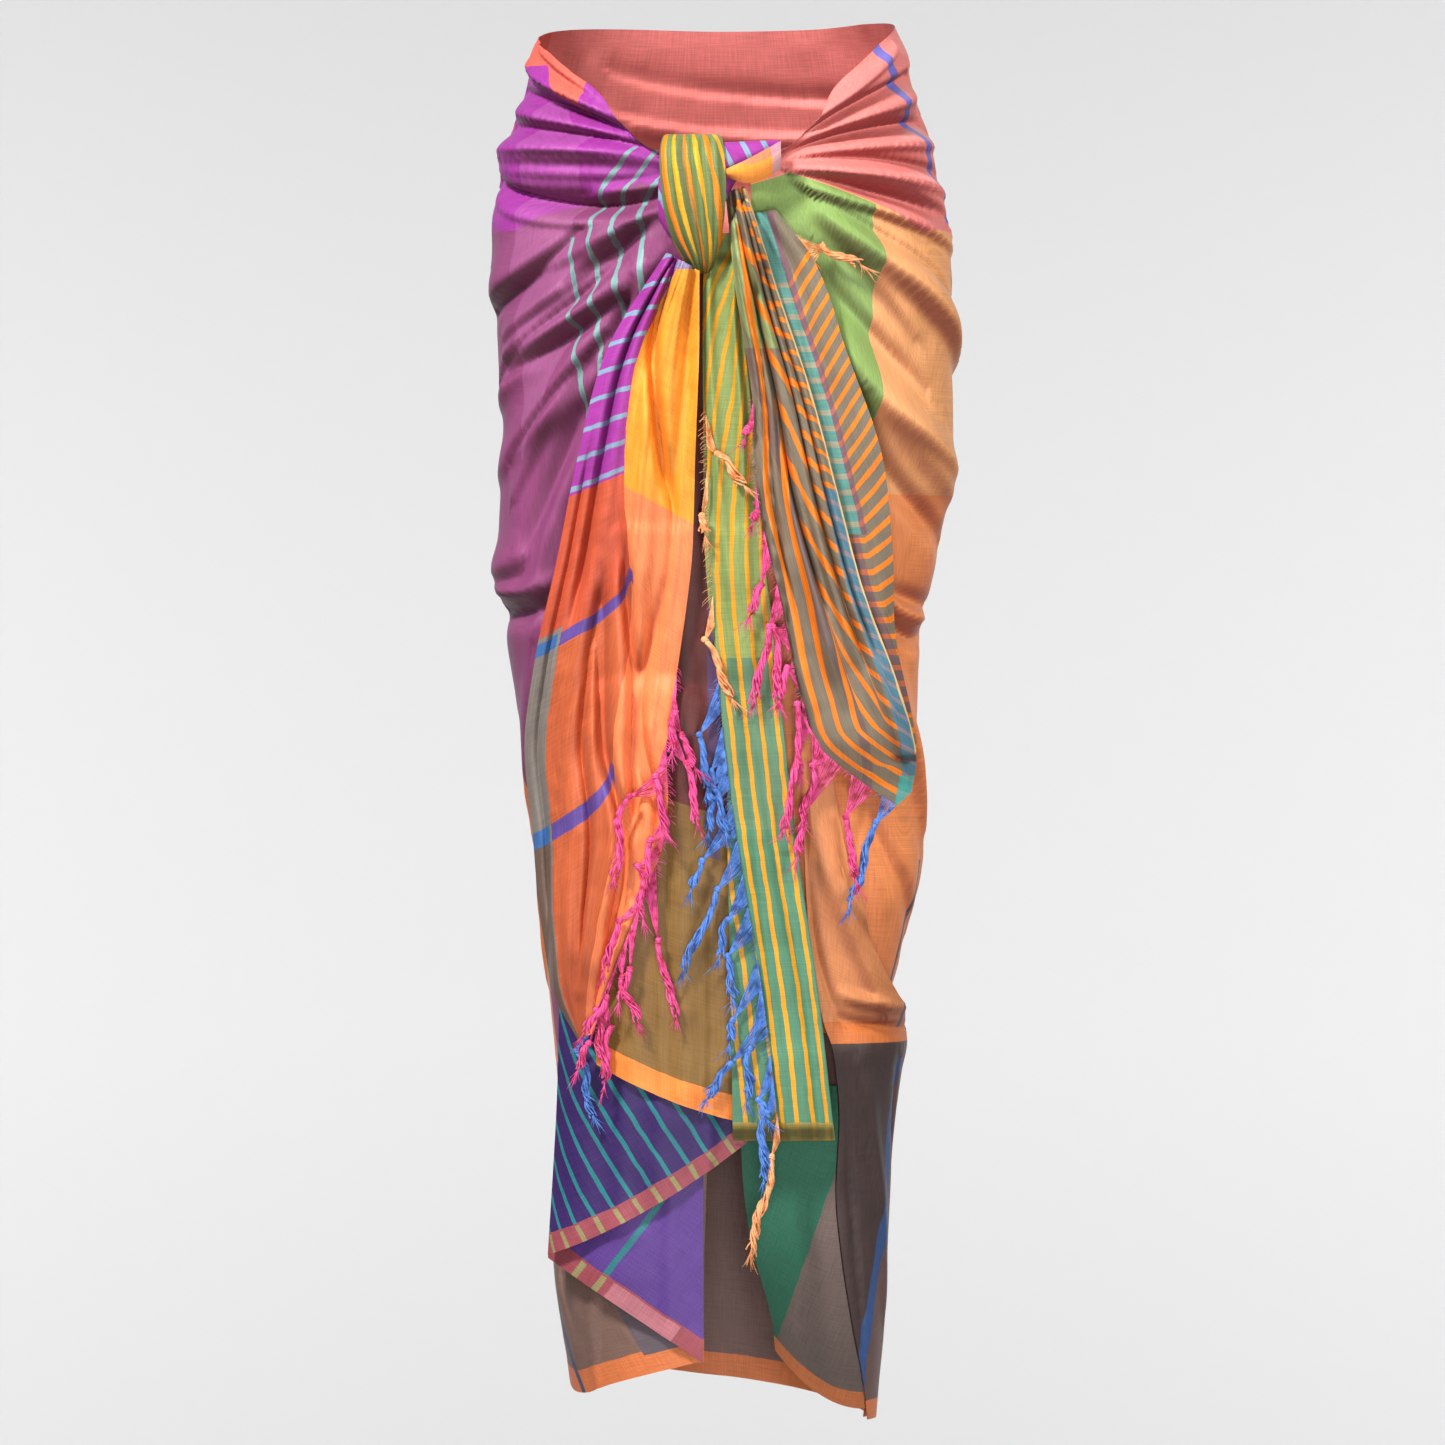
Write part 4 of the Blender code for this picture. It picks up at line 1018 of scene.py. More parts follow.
def woven_silk(name, layers, down_slope_shade="7A4A50", gloss=0.42):
    """Handwoven silk cotton. Each layer lies over those before it: bands or repeating stripes
    along u or v, the places on the flat cloth, or along z, the height. within keeps a layer
    inside limits, and strength lets the layers below show through."""
    material = bpy.data.materials.new(name)
    material.use_nodes = True
    tree = material.node_tree
    shader = tree.nodes["Principled BSDF"]
    uv = add_node(tree, "UVMap", uv_map="cloth")
    waver = add_node(tree, "TexNoise", {
        "Vector": uv.outputs[0], "Scale": WAVER_SCALE, "Detail": 2.0,
    })
    bent = add_node(tree, "VectorMath", {0: waver.outputs["Color"], 1: (0.5, 0.5, 0.5)},
                    operation="SUBTRACT")
    bent = add_node(tree, "VectorMath", {0: bent.outputs[0], "Scale": WAVER * MM},
                    operation="SCALE")
    place = add_node(tree, "VectorMath", {0: uv.outputs[0], 1: bent.outputs[0]})
    split = add_node(tree, "SeparateXYZ", {0: place.outputs[0]})
    space = add_node(tree, "SeparateXYZ", {0: add_node(tree, "TexCoord").outputs["Object"]})
    ways = {"u": split.outputs[0], "v": split.outputs[1], "z": space.outputs[2]}
    colour = None
    for layer in layers:
        if "pitch" in layer:
            factor = repeating(tree, ways[layer["along"]], layer["first"], layer["pitch"],
                               layer["width"])
            over = linear(layer["colour"])
        else:
            bands = layer["bands"]
            ramp = add_bands(tree, ways[layer["along"]], bands, bands[0][0], bands[-1][0] + 1)
            factor = ramp.outputs["Alpha"]
            over = ramp.outputs["Color"]
        if colour is None:
            colour = over
            continue
        factor = inside(tree, factor, ways, layer.get("within", []))
        if layer.get("strength", 1.0) < 1:
            factor = add_node(tree, "Math", {0: factor, 1: layer["strength"]},
                              operation="MULTIPLY").outputs[0]
        mixed = add_node(tree, "Mix", data_type="RGBA")
        tree.links.new(factor, mixed.inputs[0])
        tree.links.new(colour, mixed.inputs[6])
        if isinstance(over, tuple):
            mixed.inputs[7].default_value = over
        else:
            tree.links.new(over, mixed.inputs[7])
        colour = mixed.outputs[2]
    # Painted shade: the colour is darkened towards a dark tint where the surface faces down
    facing = add_node(tree, "NewGeometry").outputs["Normal"]
    facing = add_node(tree, "SeparateXYZ", {0: facing}).outputs[2]
    facing = add_node(tree, "MapRange", {
        "Value": facing, "From Min": DARKEST_SLOPE, "From Max": CLEAR_SLOPE,
        "To Min": 0.9, "To Max": 0.0,
    })
    darker = add_node(tree, "Mix", data_type="RGBA", blend_type="MULTIPLY")
    tree.links.new(facing.outputs[0], darker.inputs[0])
    tree.links.new(colour, darker.inputs[6])
    darker.inputs[7].default_value = linear(down_slope_shade)
    colour = darker.outputs[2]
    streaks = []
    for stretch in ((SLUB_LENGTH, SLUB_WIDTH), (SLUB_WIDTH, SLUB_LENGTH)):
        scaled = add_node(tree, "Mapping", {
            "Vector": uv.outputs[0],
            "Scale": (1 / (stretch[0] * MM), 1 / (stretch[1] * MM), 1),
        })
        streaks.append(add_node(tree, "TexNoise", {
            "Vector": scaled.outputs[0], "Scale": 1.0, "Detail": 3.0, "Roughness": 0.6,
        }).outputs["Fac"])
    slub = add_node(tree, "Math", {0: streaks[0], 1: streaks[1]}, operation="ADD").outputs[0]
    shade = add_node(tree, "MapRange", {
        "Value": slub, "From Min": SLUB_LOW, "From Max": SLUB_HIGH,
        "To Min": SLUB_DARK, "To Max": SLUB_LIGHT,
    })
    toned = add_node(tree, "HueSaturation", {"Color": colour, "Value": shade.outputs[0]})
    tree.links.new(toned.outputs[0], shader.inputs["Base Color"])
    plain = add_node(tree, "SeparateXYZ", {0: uv.outputs[0]})
    threads = []
    for way in (0, 1):
        turn = add_node(tree, "Math", {
            0: plain.outputs[way], 1: 2 * np.pi / (THREAD_DRAWN * MM),
        }, operation="MULTIPLY")
        threads.append(add_node(tree, "Math", {0: turn.outputs[0]}, operation="SINE").outputs[0])
    weave = add_node(tree, "Math", {0: threads[0], 1: threads[1]}, operation="MULTIPLY")
    relief = add_node(tree, "Math", {0: weave.outputs[0], 1: 0.3, 2: slub},
                      operation="MULTIPLY_ADD")
    bump = add_node(tree, "Bump", {
        "Height": relief.outputs[0], "Strength": 0.35, "Distance": THREAD_HEIGHT * MM,
    })
    tree.links.new(bump.outputs[0], shader.inputs["Normal"])
    rough = add_node(tree, "MapRange", {
        "Value": slub, "From Min": SLUB_LOW, "From Max": SLUB_HIGH,
        "To Min": gloss - 0.06, "To Max": gloss + 0.1,
    })
    tree.links.new(rough.outputs[0], shader.inputs["Roughness"])
    shader.inputs["Metallic"].default_value = 0.0
    shader.inputs["IOR"].default_value = 1.5
    shader.inputs["Specular IOR Level"].default_value = 0.35
    shader.inputs["Sheen Weight"].default_value = 0.04
    shader.inputs["Sheen Roughness"].default_value = 0.4
    shader.inputs["Sheen Tint"].default_value = linear("F0D8E4")
    return material


# Size of the dye's patches and of the ply along a thread, as noise scales over a metre, and the
# height of the ply
DYE_SCALE = 160.0
PLY_SCALE = 1400.0
PLY_HEIGHT = 0.4


def spun_thread(name, light, dark):
    """Silk thread, dyed in the hank and twisted by hand: bright, with darker places where
    the dye has pooled and a fine ply along it."""
    material = bpy.data.materials.new(name)
    material.use_nodes = True
    tree = material.node_tree
    shader = tree.nodes["Principled BSDF"]
    place = add_node(tree, "TexCoord")
    patches = add_node(tree, "TexNoise", {
        "Vector": place.outputs["Object"], "Scale": DYE_SCALE, "Detail": 3.0,
    })
    ramp = add_node(tree, "ValToRGB", {"Fac": patches.outputs["Fac"]})
    ramp.color_ramp.elements[0].position = 0.32
    ramp.color_ramp.elements[0].color = linear(dark)
    ramp.color_ramp.elements[1].position = 0.56
    ramp.color_ramp.elements[1].color = linear(light)
    tree.links.new(ramp.outputs[0], shader.inputs["Base Color"])
    fibres = add_node(tree, "TexNoise", {
        "Vector": place.outputs["Object"], "Scale": PLY_SCALE, "Detail": 2.0,
    })
    bump = add_node(tree, "Bump", {
        "Height": fibres.outputs["Fac"], "Strength": 0.4, "Distance": PLY_HEIGHT * MM,
    })
    tree.links.new(bump.outputs[0], shader.inputs["Normal"])
    shader.inputs["Roughness"].default_value = 0.5
    shader.inputs["Sheen Weight"].default_value = 0.35
    shader.inputs["Sheen Roughness"].default_value = 0.4
    shader.inputs["Sheen Tint"].default_value = linear(light)
    return material


def tubes(paths, radii, sides):
    """Closed thin tubes, one for each path of points: rings of points about each path, which
    stand square to it, with the last ring of each end drawn almost to a point."""
    count, steps = paths.shape[:2]
    ahead = np.gradient(paths, axis=1)
    ahead = ahead / (np.linalg.norm(ahead, axis=-1, keepdims=True) + 1e-9)
    side = np.cross(ahead, np.array([0.0, 1.0, 0.0]))
    side = side / (np.linalg.norm(side, axis=-1, keepdims=True) + 1e-9)
    other = np.cross(side, ahead)
    angle = np.linspace(0, 2 * np.pi, sides, endpoint=False)
    ring = np.cos(angle)[:, None] * side[:, :, None] + np.sin(angle)[:, None] * other[:, :, None]
    points = paths[:, :, None] + ring * radii[:, :, None, None]
    index = np.arange(count * steps * sides).reshape(count, steps, sides)
    after = np.roll(index, -1, axis=2)
    quads = np.stack([index[:, :-1], index[:, 1:], after[:, 1:], after[:, :-1]], -1)
    first = index[:, 0]
    last = index[:, -1, ::-1]
    faces = quads.reshape(-1, 4).tolist() + first.tolist() + last.tolist()
    return points.reshape(-1, 3), faces


def joined(parts):
    """One list of points and of faces from several."""
    points = []
    faces = []
    count = 0
    for some_points, some_faces in parts:
        points.append(some_points)
        faces += [[i + count for i in face] for face in some_faces]
        count += len(some_points)
    return np.concatenate(points), faces


def edge_length(edge):
    """Length of an edge's line."""
    return np.linalg.norm(np.diff(edge, axis=0), axis=1).sum()


def edge_place(edge, at):
    """Points on an edge's line at distances along it."""
    length = run_along(edge)
    return np.stack([np.interp(at, length, edge[:, k]) for k in range(3)], -1)


def edge_distance(edge, x, z):
    """Distance along an edge of its place nearest to x and z."""
    at = np.linspace(0, edge_length(edge), 900)
    line = edge_place(edge, at)
    return at[np.hypot(line[:, 0] - x, line[:, 2] - z).argmin()]


def settle(cover, paths, clearance):
    """Moves the points of paths forward where they would lie in or behind the cloth."""
    limit = cover.front(paths[..., 0], paths[..., 2], 4.0) - clearance
    paths[..., 1] = np.minimum(paths[..., 1], limit)
    return paths


def tassel(cover, edge, root_x, root_z, knot_x, knot_z, end_x, end_z, rng):
    """One tassel as tubes: threads that fan in from the edge to a small tied knot, a lock of
    loosely turned threads below it, and loose ends."""
    at = edge_distance(edge, root_x, root_z)
    spread = np.linspace(-0.5, 0.5, FAN_THREADS) + rng.normal(0, 0.02, FAN_THREADS)
    spread = at + TASSEL_FAN * spread
    roots = edge_place(edge, np.clip(spread, 0.5, edge_length(edge) - 0.5))
    roots[:, 1] -= 0.4
    knot = np.array([knot_x, roots[:, 1].min(), knot_z], float)
    end = np.array([end_x, knot[1], end_z], float)
    share = np.linspace(0, 1, 7)[None, :, None]
    sag = np.sin(np.pi * share) * rng.uniform(0.2, 1.6, (FAN_THREADS, 1, 1))
    sag = sag * np.array([0, -0.4, -1.0])
    fan = roots[:, None] * (1 - share) + knot * share + sag
    fan = fan + rng.normal(0, 0.25, fan.shape) * np.sin(np.pi * share)
    fan = settle(cover, fan, 0.7)
    parts = [tubes(fan, np.full(fan.shape[:2], FAN_THREAD_RADIUS), 3)]

    steps = np.linspace(0, 1, 26)
    sway = rng.uniform(-0.06, 0.06) * np.linalg.norm(end - knot)
    across = np.array([-(end - knot)[2], 0, (end - knot)[0]])
    across = across / np.linalg.norm(across)
    centre = knot + (end - knot) * steps[:, None]
    sway = sway * np.sin(2 * np.pi * steps) + sway * np.sin(np.pi * steps)
    centre = centre + across * sway[:, None]
    centre = settle(cover, centre, LOCK_RADIUS * 2.1)
    centre[:, 1] = np.minimum.accumulate(centre[:, 1]) * 0.5 + centre[:, 1] * 0.5
    knot = centre[0]
    length = np.linalg.norm(end - knot)
    swell = np.interp(steps, [0, 0.08, 0.5, 0.8, 1], [0.4, 0.75, 1.0, 1.25, 1.7]) * LOCK_RADIUS
    strands = []
    for k in range(LOCK_THREADS):
        twists = steps * length / LOCK_TWIST * rng.uniform(0.6, 1.3)
        around = 2 * np.pi * (twists + k / LOCK_THREADS)
        wide = swell * rng.uniform(0.35, 1.0) * (1 + 0.2 * np.sin(9 * steps + k))
        reach = rng.uniform(0.82, 1.06)
        strand = centre[0] + (centre - centre[0]) * reach
        strand = strand + across * (wide * np.cos(around))[:, None]
        strand[:, 1] += wide * np.sin(around)
        strands.append(strand)
    thick = LOCK_THREAD_RADIUS * (1 - 0.35 * steps) * np.ones((LOCK_THREADS, 1))
    parts.append(tubes(np.stack(strands), thick, 4))

    down = (centre[3] - centre[0]) / np.linalg.norm(centre[3] - centre[0])
    bead = np.linspace(-BEAD_HALF_LENGTH, BEAD_HALF_LENGTH, 9)
    bead_path = knot + down * bead[:, None]
    bead_radius = 0.5 + BEAD_RADIUS * np.sqrt(np.clip(1 - (bead / 2.7) ** 2, 0, 1))
    parts.append(tubes(bead_path[None], bead_radius[None], 9))
    turn = np.linspace(0, 4 * np.pi, 22)
    loop = knot + across * (LOOP_RADIUS * np.cos(turn))[:, None]
    loop = loop + down * np.linspace(-1.5, 1.5, 22)[:, None]
    loop[:, 1] += LOOP_RADIUS * np.sin(turn)
    parts.append(tubes(loop[None], np.full((1, 22), LOOP_THREAD_RADIUS), 4))

    tail = (centre[-1] - centre[-4]) / np.linalg.norm(centre[-1] - centre[-4])
    share = np.linspace(0, 1, 6)[None, :, None]
    stray = rng.normal(0, 0.34, (LOOSE_ENDS, 1, 3)) * np.array([1, 0.3, 0.5])
    reach = rng.uniform(6, 15, (LOOSE_ENDS, 1, 1))
    ends = centre[-2] + (tail + stray * share) * reach * share
    ends = ends + np.array([0, 0, -3.0]) * share ** 2
    ends = settle(cover, ends, 0.6)
    thin = LOOSE_END_RADIUS * (1 - 0.5 * share[..., 0]) + 0 * ends[..., 0]
    parts.append(tubes(ends, thin, 3))
    return parts


def fuzz(cover, edge, start, stop, out, rng):
    """Short loose warp ends along a cut edge between two distances, uneven in length."""
    at = np.arange(start, stop, FUZZ_EVERY)
    at = at + rng.uniform(-0.8, 0.8, len(at))
    roots = edge_place(edge, at)
    roots[:, 1] -= 0.5
    share = np.linspace(0, 1, 5)[None, :, None]
    way = np.array([out, -0.2, 0]) + rng.normal(0, 0.4, (len(at), 3)) * np.array([0.6, 0.3, 1.0])
    reach = rng.uniform(2.0, 6.5, (len(at), 1, 1))
    threads = roots[:, None] + way[:, None] * reach * share + np.array([0, 0, -3.0]) * share ** 2
    threads = settle(cover, threads, 0.4)
    return tubes(threads, np.full(threads.shape[:2], FUZZ_RADIUS), 3)


def fringe(name, cover, edge, tassels, material, out, rng):
    """A run of tassels on an edge, with the short loose ends between them."""
    parts = []
    places = []
    for row in tassels:
        parts += tassel(cover, edge, *row, rng)
        places.append(edge_distance(edge, row[0], row[1]))
    start = max(min(places) - FRINGE_SPARE, 1)
    stop = min(max(places) + FRINGE_SPARE, edge_length(edge) - 1)
    parts.append(fuzz(cover, edge, start, stop, out, rng))
    points, faces = joined(parts)
    piece = add_mesh(name + "_threads", points, faces, material)
    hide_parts(name)
    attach(piece, "root")
    return piece


def lay(name, grid, u, v, material):
    """Makes a stretch of cloth and adds it to the cover."""
    piece = cloth(name + "_silk", grid, u, v, material, name)
    cover.lay(grid)
    cover.lay(grid + (OUTER_FACE + 0.2) * outward(grid))
    return piece


def from_hem(grid):
    """Distance of each point of a grid from its last row, along its columns."""
    step = np.linalg.norm(np.diff(grid, axis=0), axis=-1)
    run = np.cumsum(step[::-1], axis=0)[::-1]
    return np.concatenate([run, 0 * run[:1]])


def from_left(grid):
    """Distance of each point of a grid from its first column, along its rows."""
    step = np.linalg.norm(np.diff(grid, axis=1), axis=-1)
    return np.concatenate([0 * step[:, :1], np.cumsum(step, axis=1)], axis=1)


def along_hem(grid, angle, start=0.0):
    """Distance along a slanting hem: x and z turned by the hem's angle in degrees."""
    angle = np.radians(angle)
    return grid[..., 0] * np.cos(angle) + grid[..., 2] * np.sin(angle) - start


def drape_surface(rows, cols):
    """The right drape: it lies off the form between its free edge and its side edge, and in
    front it rides over the wrap."""
    z, free, side, off = columns(RIGHT_FALL)
    height = np.linspace(z[0], z[-1], rows)[:, None]
    across = np.linspace(0, 1, cols)[None, :]
    start = smooth(-z, free, -height)
    turn = start + (smooth(-z, side, -height) - start) * across
    level = height + 0 * turn
    off = smooth(-z, off, -height)
    seated = across ** 6 * np.clip((DRAPE_SEAT_TOP - height) / 40, 0, 1)
    rough = 0.7 * (soft_noise(turn * GIRTH_PER_DEGREE, height, 34, 31) + 1)
    folds = fold_relief(turn, level, turned_lines(DRAPE_FOLDS))
    # Folds fade out at the free edge, and a valley keeps off the wrap
    rough = rough + np.maximum(folds, -0.6 * off) * step_between(0, 0.14, across)
    grid = on_form(turn, level, off + (DRAPE_SEAT - off) * seated + rough * (1 - seated))
    limit = cover.front(grid[..., 0], grid[..., 2], 4.0) - LAYER_GAP
    in_front = np.clip((60 - turn) / 20, 0, 1)
    ridden = softly_in_front(grid[..., 1], limit)
    grid[..., 1] += (ridden - grid[..., 1]) * in_front
    return grid, turn


def turned_surface(free_edge, rows, cols):
    """The drape's end, turned inwards: from just inside the drape's free edge to its own
    left edge, its hem bowed down."""
    fold_z, left_x, left_y, left_z = columns(RIGHT_TURN)
    station = np.linspace(0, 1, len(fold_z))
    down, across = shares(rows, cols)
    right_z = smooth(station, fold_z, down)
    right_x = smooth(-free_edge[:, 2], free_edge[:, 0], -right_z) - 0.3
    right_y = smooth(-free_edge[:, 2], free_edge[:, 1], -right_z) + 1.9
    x = between(smooth(station, left_x, down), right_x, across)
    y = between(smooth(station, left_y, down), right_y, across)
    z = between(smooth(station, left_z, down), right_z, across)
    z = z - TURN_HEM_BOW * 4 * across * (1 - across) * down ** 4
    return np.stack([x, y, z], -1)


def double_surface():
    """The fall that is folded double: its back layer from the left edge to the fold, round
    the fold, and its front layer back to the fringed edge."""
    back_x, fold_x, front_x, z = columns(CENTRE_FALL)
    height = np.linspace(z[0], z[-1], CENTRE_ROWS)[:, None]
    back = smooth(-z, back_x, -height)
    fold = smooth(-z, fold_x, -height) - FOLD_RADIUS
    front = smooth(-z, front_x, -height)
    bend = np.radians(np.linspace(-75, 75, CENTRE_BEND_COLS))[None, :]
    share = np.linspace(0, 1, CENTRE_FRONT_COLS)[None, :]
    behind = back + (fold - back) * np.linspace(0, 1, CENTRE_BACK_COLS)[None, :]
    before = fold + (front - fold) * share
    x = np.concatenate([behind, fold + FOLD_RADIUS * np.cos(bend), before], axis=1)
    height = height + 0 * x
    round_y = FOLD_RADIUS * (1 + np.sin(bend)) + 0 * fold
    apart = np.concatenate([0 * behind, round_y, 2 * FOLD_RADIUS + 0 * before], axis=1)
    floor = np.minimum(form_front(x, height) - 2, cover.front(x, height, 6.0) - LAYER_GAP)
    floor = floor.min(axis=1, keepdims=True)
    lean = CENTRE_WANDER * np.sin(height[:, :1] / CENTRE_WANDER_PITCH)
    swell = 0
    for place, way, high, wide in CENTRE_SWELLS:
        swell = swell + high * np.exp(-((share - place - way * lean) / wide) ** 2)
    # Near the knot the folds stand higher
    swell = swell * (1 + 0.7 * step_between(-330, -150, height[:, :1]))
    apart[:, -CENTRE_FRONT_COLS:] += swell * np.clip(12 * share, 0, 1)
    return np.stack([x, floor - apart, height], -1)


def band_surface(rows, cols):
    """The knot's band: from behind the top over the front to behind the bottom, ribbed along
    its length, its edges bent back."""
    left, right, depth, z = columns(KNOT_BAND)
    station = np.linspace(0, 1, len(z))
    down, across = shares(rows, cols)
    x = between(smooth(station, left, down), smooth(station, right, down), across)
    edge = np.abs(2 * across - 1) ** 3
    fade = np.sin(np.pi * np.clip(down, 0.06, 0.94)) ** 0.5
    ribs = fade * fold_ridges(down, across + 0.05 * np.sin(5 * down), BAND_FOLDS)
    y = smooth(station, depth, down) - ribs + BAND_EDGE * edge * fade
    return np.stack([x, y, smooth(station, z, down) + 0 * x], -1), down, across


def area_light(name, place, aim, size, power):
    """A soft square light at a place, turned towards a point."""
    data = bpy.data.lights.new(name, "AREA")
    data.size = size
    data.energy = power
    light = bpy.data.objects.new(name, data)
    way = np.array(aim) - np.array(place)
    flat = np.hypot(way[0], way[1])
    light.location = place
    light.rotation_euler = (np.arctan2(flat, -way[2]), 0, np.arctan2(way[1], way[0]) - np.pi / 2)
    bpy.context.scene.collection.objects.link(light)


# Colours of the cloth
MAGENTA = "AC3CA2"
MAUVE = "984A7A"
CORAL = "F26C5C"
PINK_CORAL = "FF8E86"
TAN_ORANGE = "FFB274"
ORANGE = "FF9A5C"
HEM_ORANGE = "E8824A"
PLUM_BROWN = "80625A"
BROWN = "86685C"
GREY_GREEN = "8AB0AE"
PALE_BLUE = "8FAAC4"
VIOLET = "8078D0"
GREEN = "92B060"
TEAL = "45ADA4"
ROSE = "A04C56"
OLIVE_GREY = "867863"
STRIPE_ORANGE = "FF8A1C"

# Along u the cloth runs from its right front edge, 13 mm, round the back to the left one, 925 mm.
# The blocks of the left hip start a little behind the left side.
LEFT_BLOCKS = 655
wrap_silk = woven_silk("handwoven silk cotton, wrap", [
    {"along": "v", "bands": [
        (-1100, HEM_ORANGE), (-945, PLUM_BROWN), (-672, TAN_ORANGE), (-53, PINK_CORAL),
        (400, PINK_CORAL),
    ]},
    {"along": "z", "bands": [(-1000, ORANGE), (-260, None), (300, None)],
     "within": [("v", -672, 400)]},
    {"along": "u", "bands": [(0, GREEN), (98, None), (200, None)],
     "within": [("v", -420, -53)]},
    {"along": "u", "bands": [(0, None), (149, VIOLET), (165, None), (200, None)],
     "within": [("v", -53, 400)]},
    {"along": "u", "bands": [(0, None), (148, "5E4C5C"), (160, None), (200, None)],
     "within": [("z", -672, -545)]},
    {"along": "v", "bands": [
        (-1100, HEM_ORANGE), (-945, BROWN), (-705, MAUVE), (-53, MAGENTA), (75, CORAL),
        (400, CORAL),
    ], "within": [("u", LEFT_BLOCKS, 2000)]},
    {"along": "u", "bands": [(0, None), (LEFT_BLOCKS - 3, CORAL), (690, None), (900, None)],
     "within": [("z", 30, 300)]},
    {"along": "u", "bands": [(0, None), (LEFT_BLOCKS - 3, ORANGE), (728, None), (900, None)],
     "within": [("z", -705, -474)]},
    {"along": "u", "bands": [(LEFT_BLOCKS, None), (838, MAGENTA), (1000, MAGENTA)],
     "within": [("v", 74, 400)]},
    {"along": "u", "bands": [(LEFT_BLOCKS, None), (777, "D68CC0"), (843, None), (900, None)],
     "within": [("v", -230, 60)], "strength": 0.18},
    {"along": "u", "first": 840.0, "pitch": 17.0, "width": 3.6, "colour": GREY_GREEN,
     "within": [("u", 856, 908), ("z", -80, 12)]},
    {"along": "u", "first": 840.0, "pitch": 17.0, "width": 3.6, "colour": GREY_GREEN,
     "within": [("u", 838, 908), ("z", -262, -58)]},
    {"along": "u", "bands": [(LEFT_BLOCKS, None), (712, "45597C"), (722, None), (900, None)],
     "within": [("z", -1000, -860)]},
    {"along": "u", "bands": [(LEFT_BLOCKS, None), (838, "6E6068"), (880, None), (900, None)],
     "within": [("v", -945, -880)]},
])
violet_silk = woven_silk("handwoven silk cotton, violet", [
    {"along": "v", "bands": [(0, "5E3C8C"), (400, "5E3C8C")]},
    {"along": "u", "first": 447.0, "pitch": 200, "width": 5, "colour": "2E7C80",
     "within": [("u", 440, 470)]},
    {"along": "v", "bands": [(-20, ROSE), (13, None), (400, None)]},
    {"along": "u", "bands": [(440, None), (458, "C8808A"), (520, None), (700, None)],
     "within": [("v", -20, 13)], "strength": 0.7},
    {"along": "u", "first": 428.0, "pitch": 19, "width": 5, "colour": "9A9060",
     "within": [("u", 420, 456), ("v", -20, 13)]},
])
striped_violet_silk = woven_silk("handwoven silk cotton, violet with teal stripes", [
    {"along": "v", "bands": [(0, "3C2464"), (400, "3C2464")]},
    {"along": "u", "first": 4.0, "pitch": 17, "width": 3.5, "colour": "2C8488"},
    {"along": "v", "bands": [(-20, ROSE), (13, None), (400, None)]},
    {"along": "u", "first": 4.0, "pitch": 17, "width": 4.0, "colour": "9A9060",
     "within": [("v", -20, 13)]},
], down_slope_shade="503060")
ochre_silk = woven_silk("handwoven silk cotton, ochre", [
    # Above 235 mm from the hem the ochre is drawn dark red brown: painted shadow of the deep fold
    # under the left tail, partly the red reverse of the left tail that shows there
    {"along": "v", "bands": [(0, "8E6A34"), (235, "6A3430"), (700, "6A3430")]},
    {"along": "u", "bands": [(0, None), (84, "5A4C86"), (94, None), (200, None)],
     "within": [("v", 200, 420)], "strength": 0.55},
    {"along": "v", "bands": [(-20, "FF9240"), (19, None), (400, None)]},
])
RUST = "D45C3C"
tail_silk = woven_silk("handwoven silk cotton, magenta and orange", [
    {"along": "v", "bands": [(0, MAGENTA), (241, RUST), (344, "D4683E"), (900, "D4683E")]},
    {"along": "v", "first": 90.0, "pitch": 21.0, "width": 3.8, "colour": PALE_BLUE,
     "within": [("v", 60, 242), ("u", -20, 60)]},
    {"along": "u", "bands": [(-20, None), (60, "FFA433"), (400, "FFA433")],
     "within": [("v", 0, 252)]},
    {"along": "u", "bands": [(-20, None), (60, "FF8E56"), (400, "FF8E56")],
     "within": [("v", 252, 900)]},
    {"along": "v", "bands": [(0, None), (332, "6A50A0"), (344, None), (485, "6A50A0"),
                             (497, None), (900, None)], "within": [("u", -20, 62)]},
    {"along": "u", "bands": [(-20, "8E857C"), (13, None), (400, None)],
     "within": [("v", 330, 900)]},
    {"along": "v", "bands": [(0, None), (332, "4676B4"), (344, None), (485, "4676B4"),
                             (497, "7A6456"), (900, "7A6456")], "within": [("u", -20, 13)]},
    {"along": "z", "bands": [(-1000, None), (-86, "9A8CB0"), (-60, None), (0, None)],
     "within": [("u", 56, 72)]},
])
striped_silk = woven_silk("handwoven silk cotton, olive with orange stripes", [
    {"along": "u", "bands": [(-50, OLIVE_GREY), (900, OLIVE_GREY)]},
    {"along": "z", "bands": [(-1000, None), (-150, "9CAE70"), (200, "9CAE70")],
     "within": [("v", 14, 400)], "strength": 0.85},
    {"along": "v", "bands": [(0, None), (34, "6A4A58"), (42, None), (400, None)],
     "strength": 0.5},
    {"along": "u", "first": 6.0, "pitch": 13.6, "width": 4.4, "colour": STRIPE_ORANGE},
    {"along": "v", "bands": [(-20, "3C88A4"), (10, None), (400, None)],
     "within": [("z", -478, -255)], "strength": 0.75},
    {"along": "v", "bands": [(-20, TEAL), (12, None), (400, None)],
     "within": [("z", -600, -478)], "strength": 0.9},
    {"along": "v", "bands": [(-20, "E8C78A"), (1.3, None), (400, None)],
     "within": [("z", -462, -20)]},
], down_slope_shade="8A6A60")
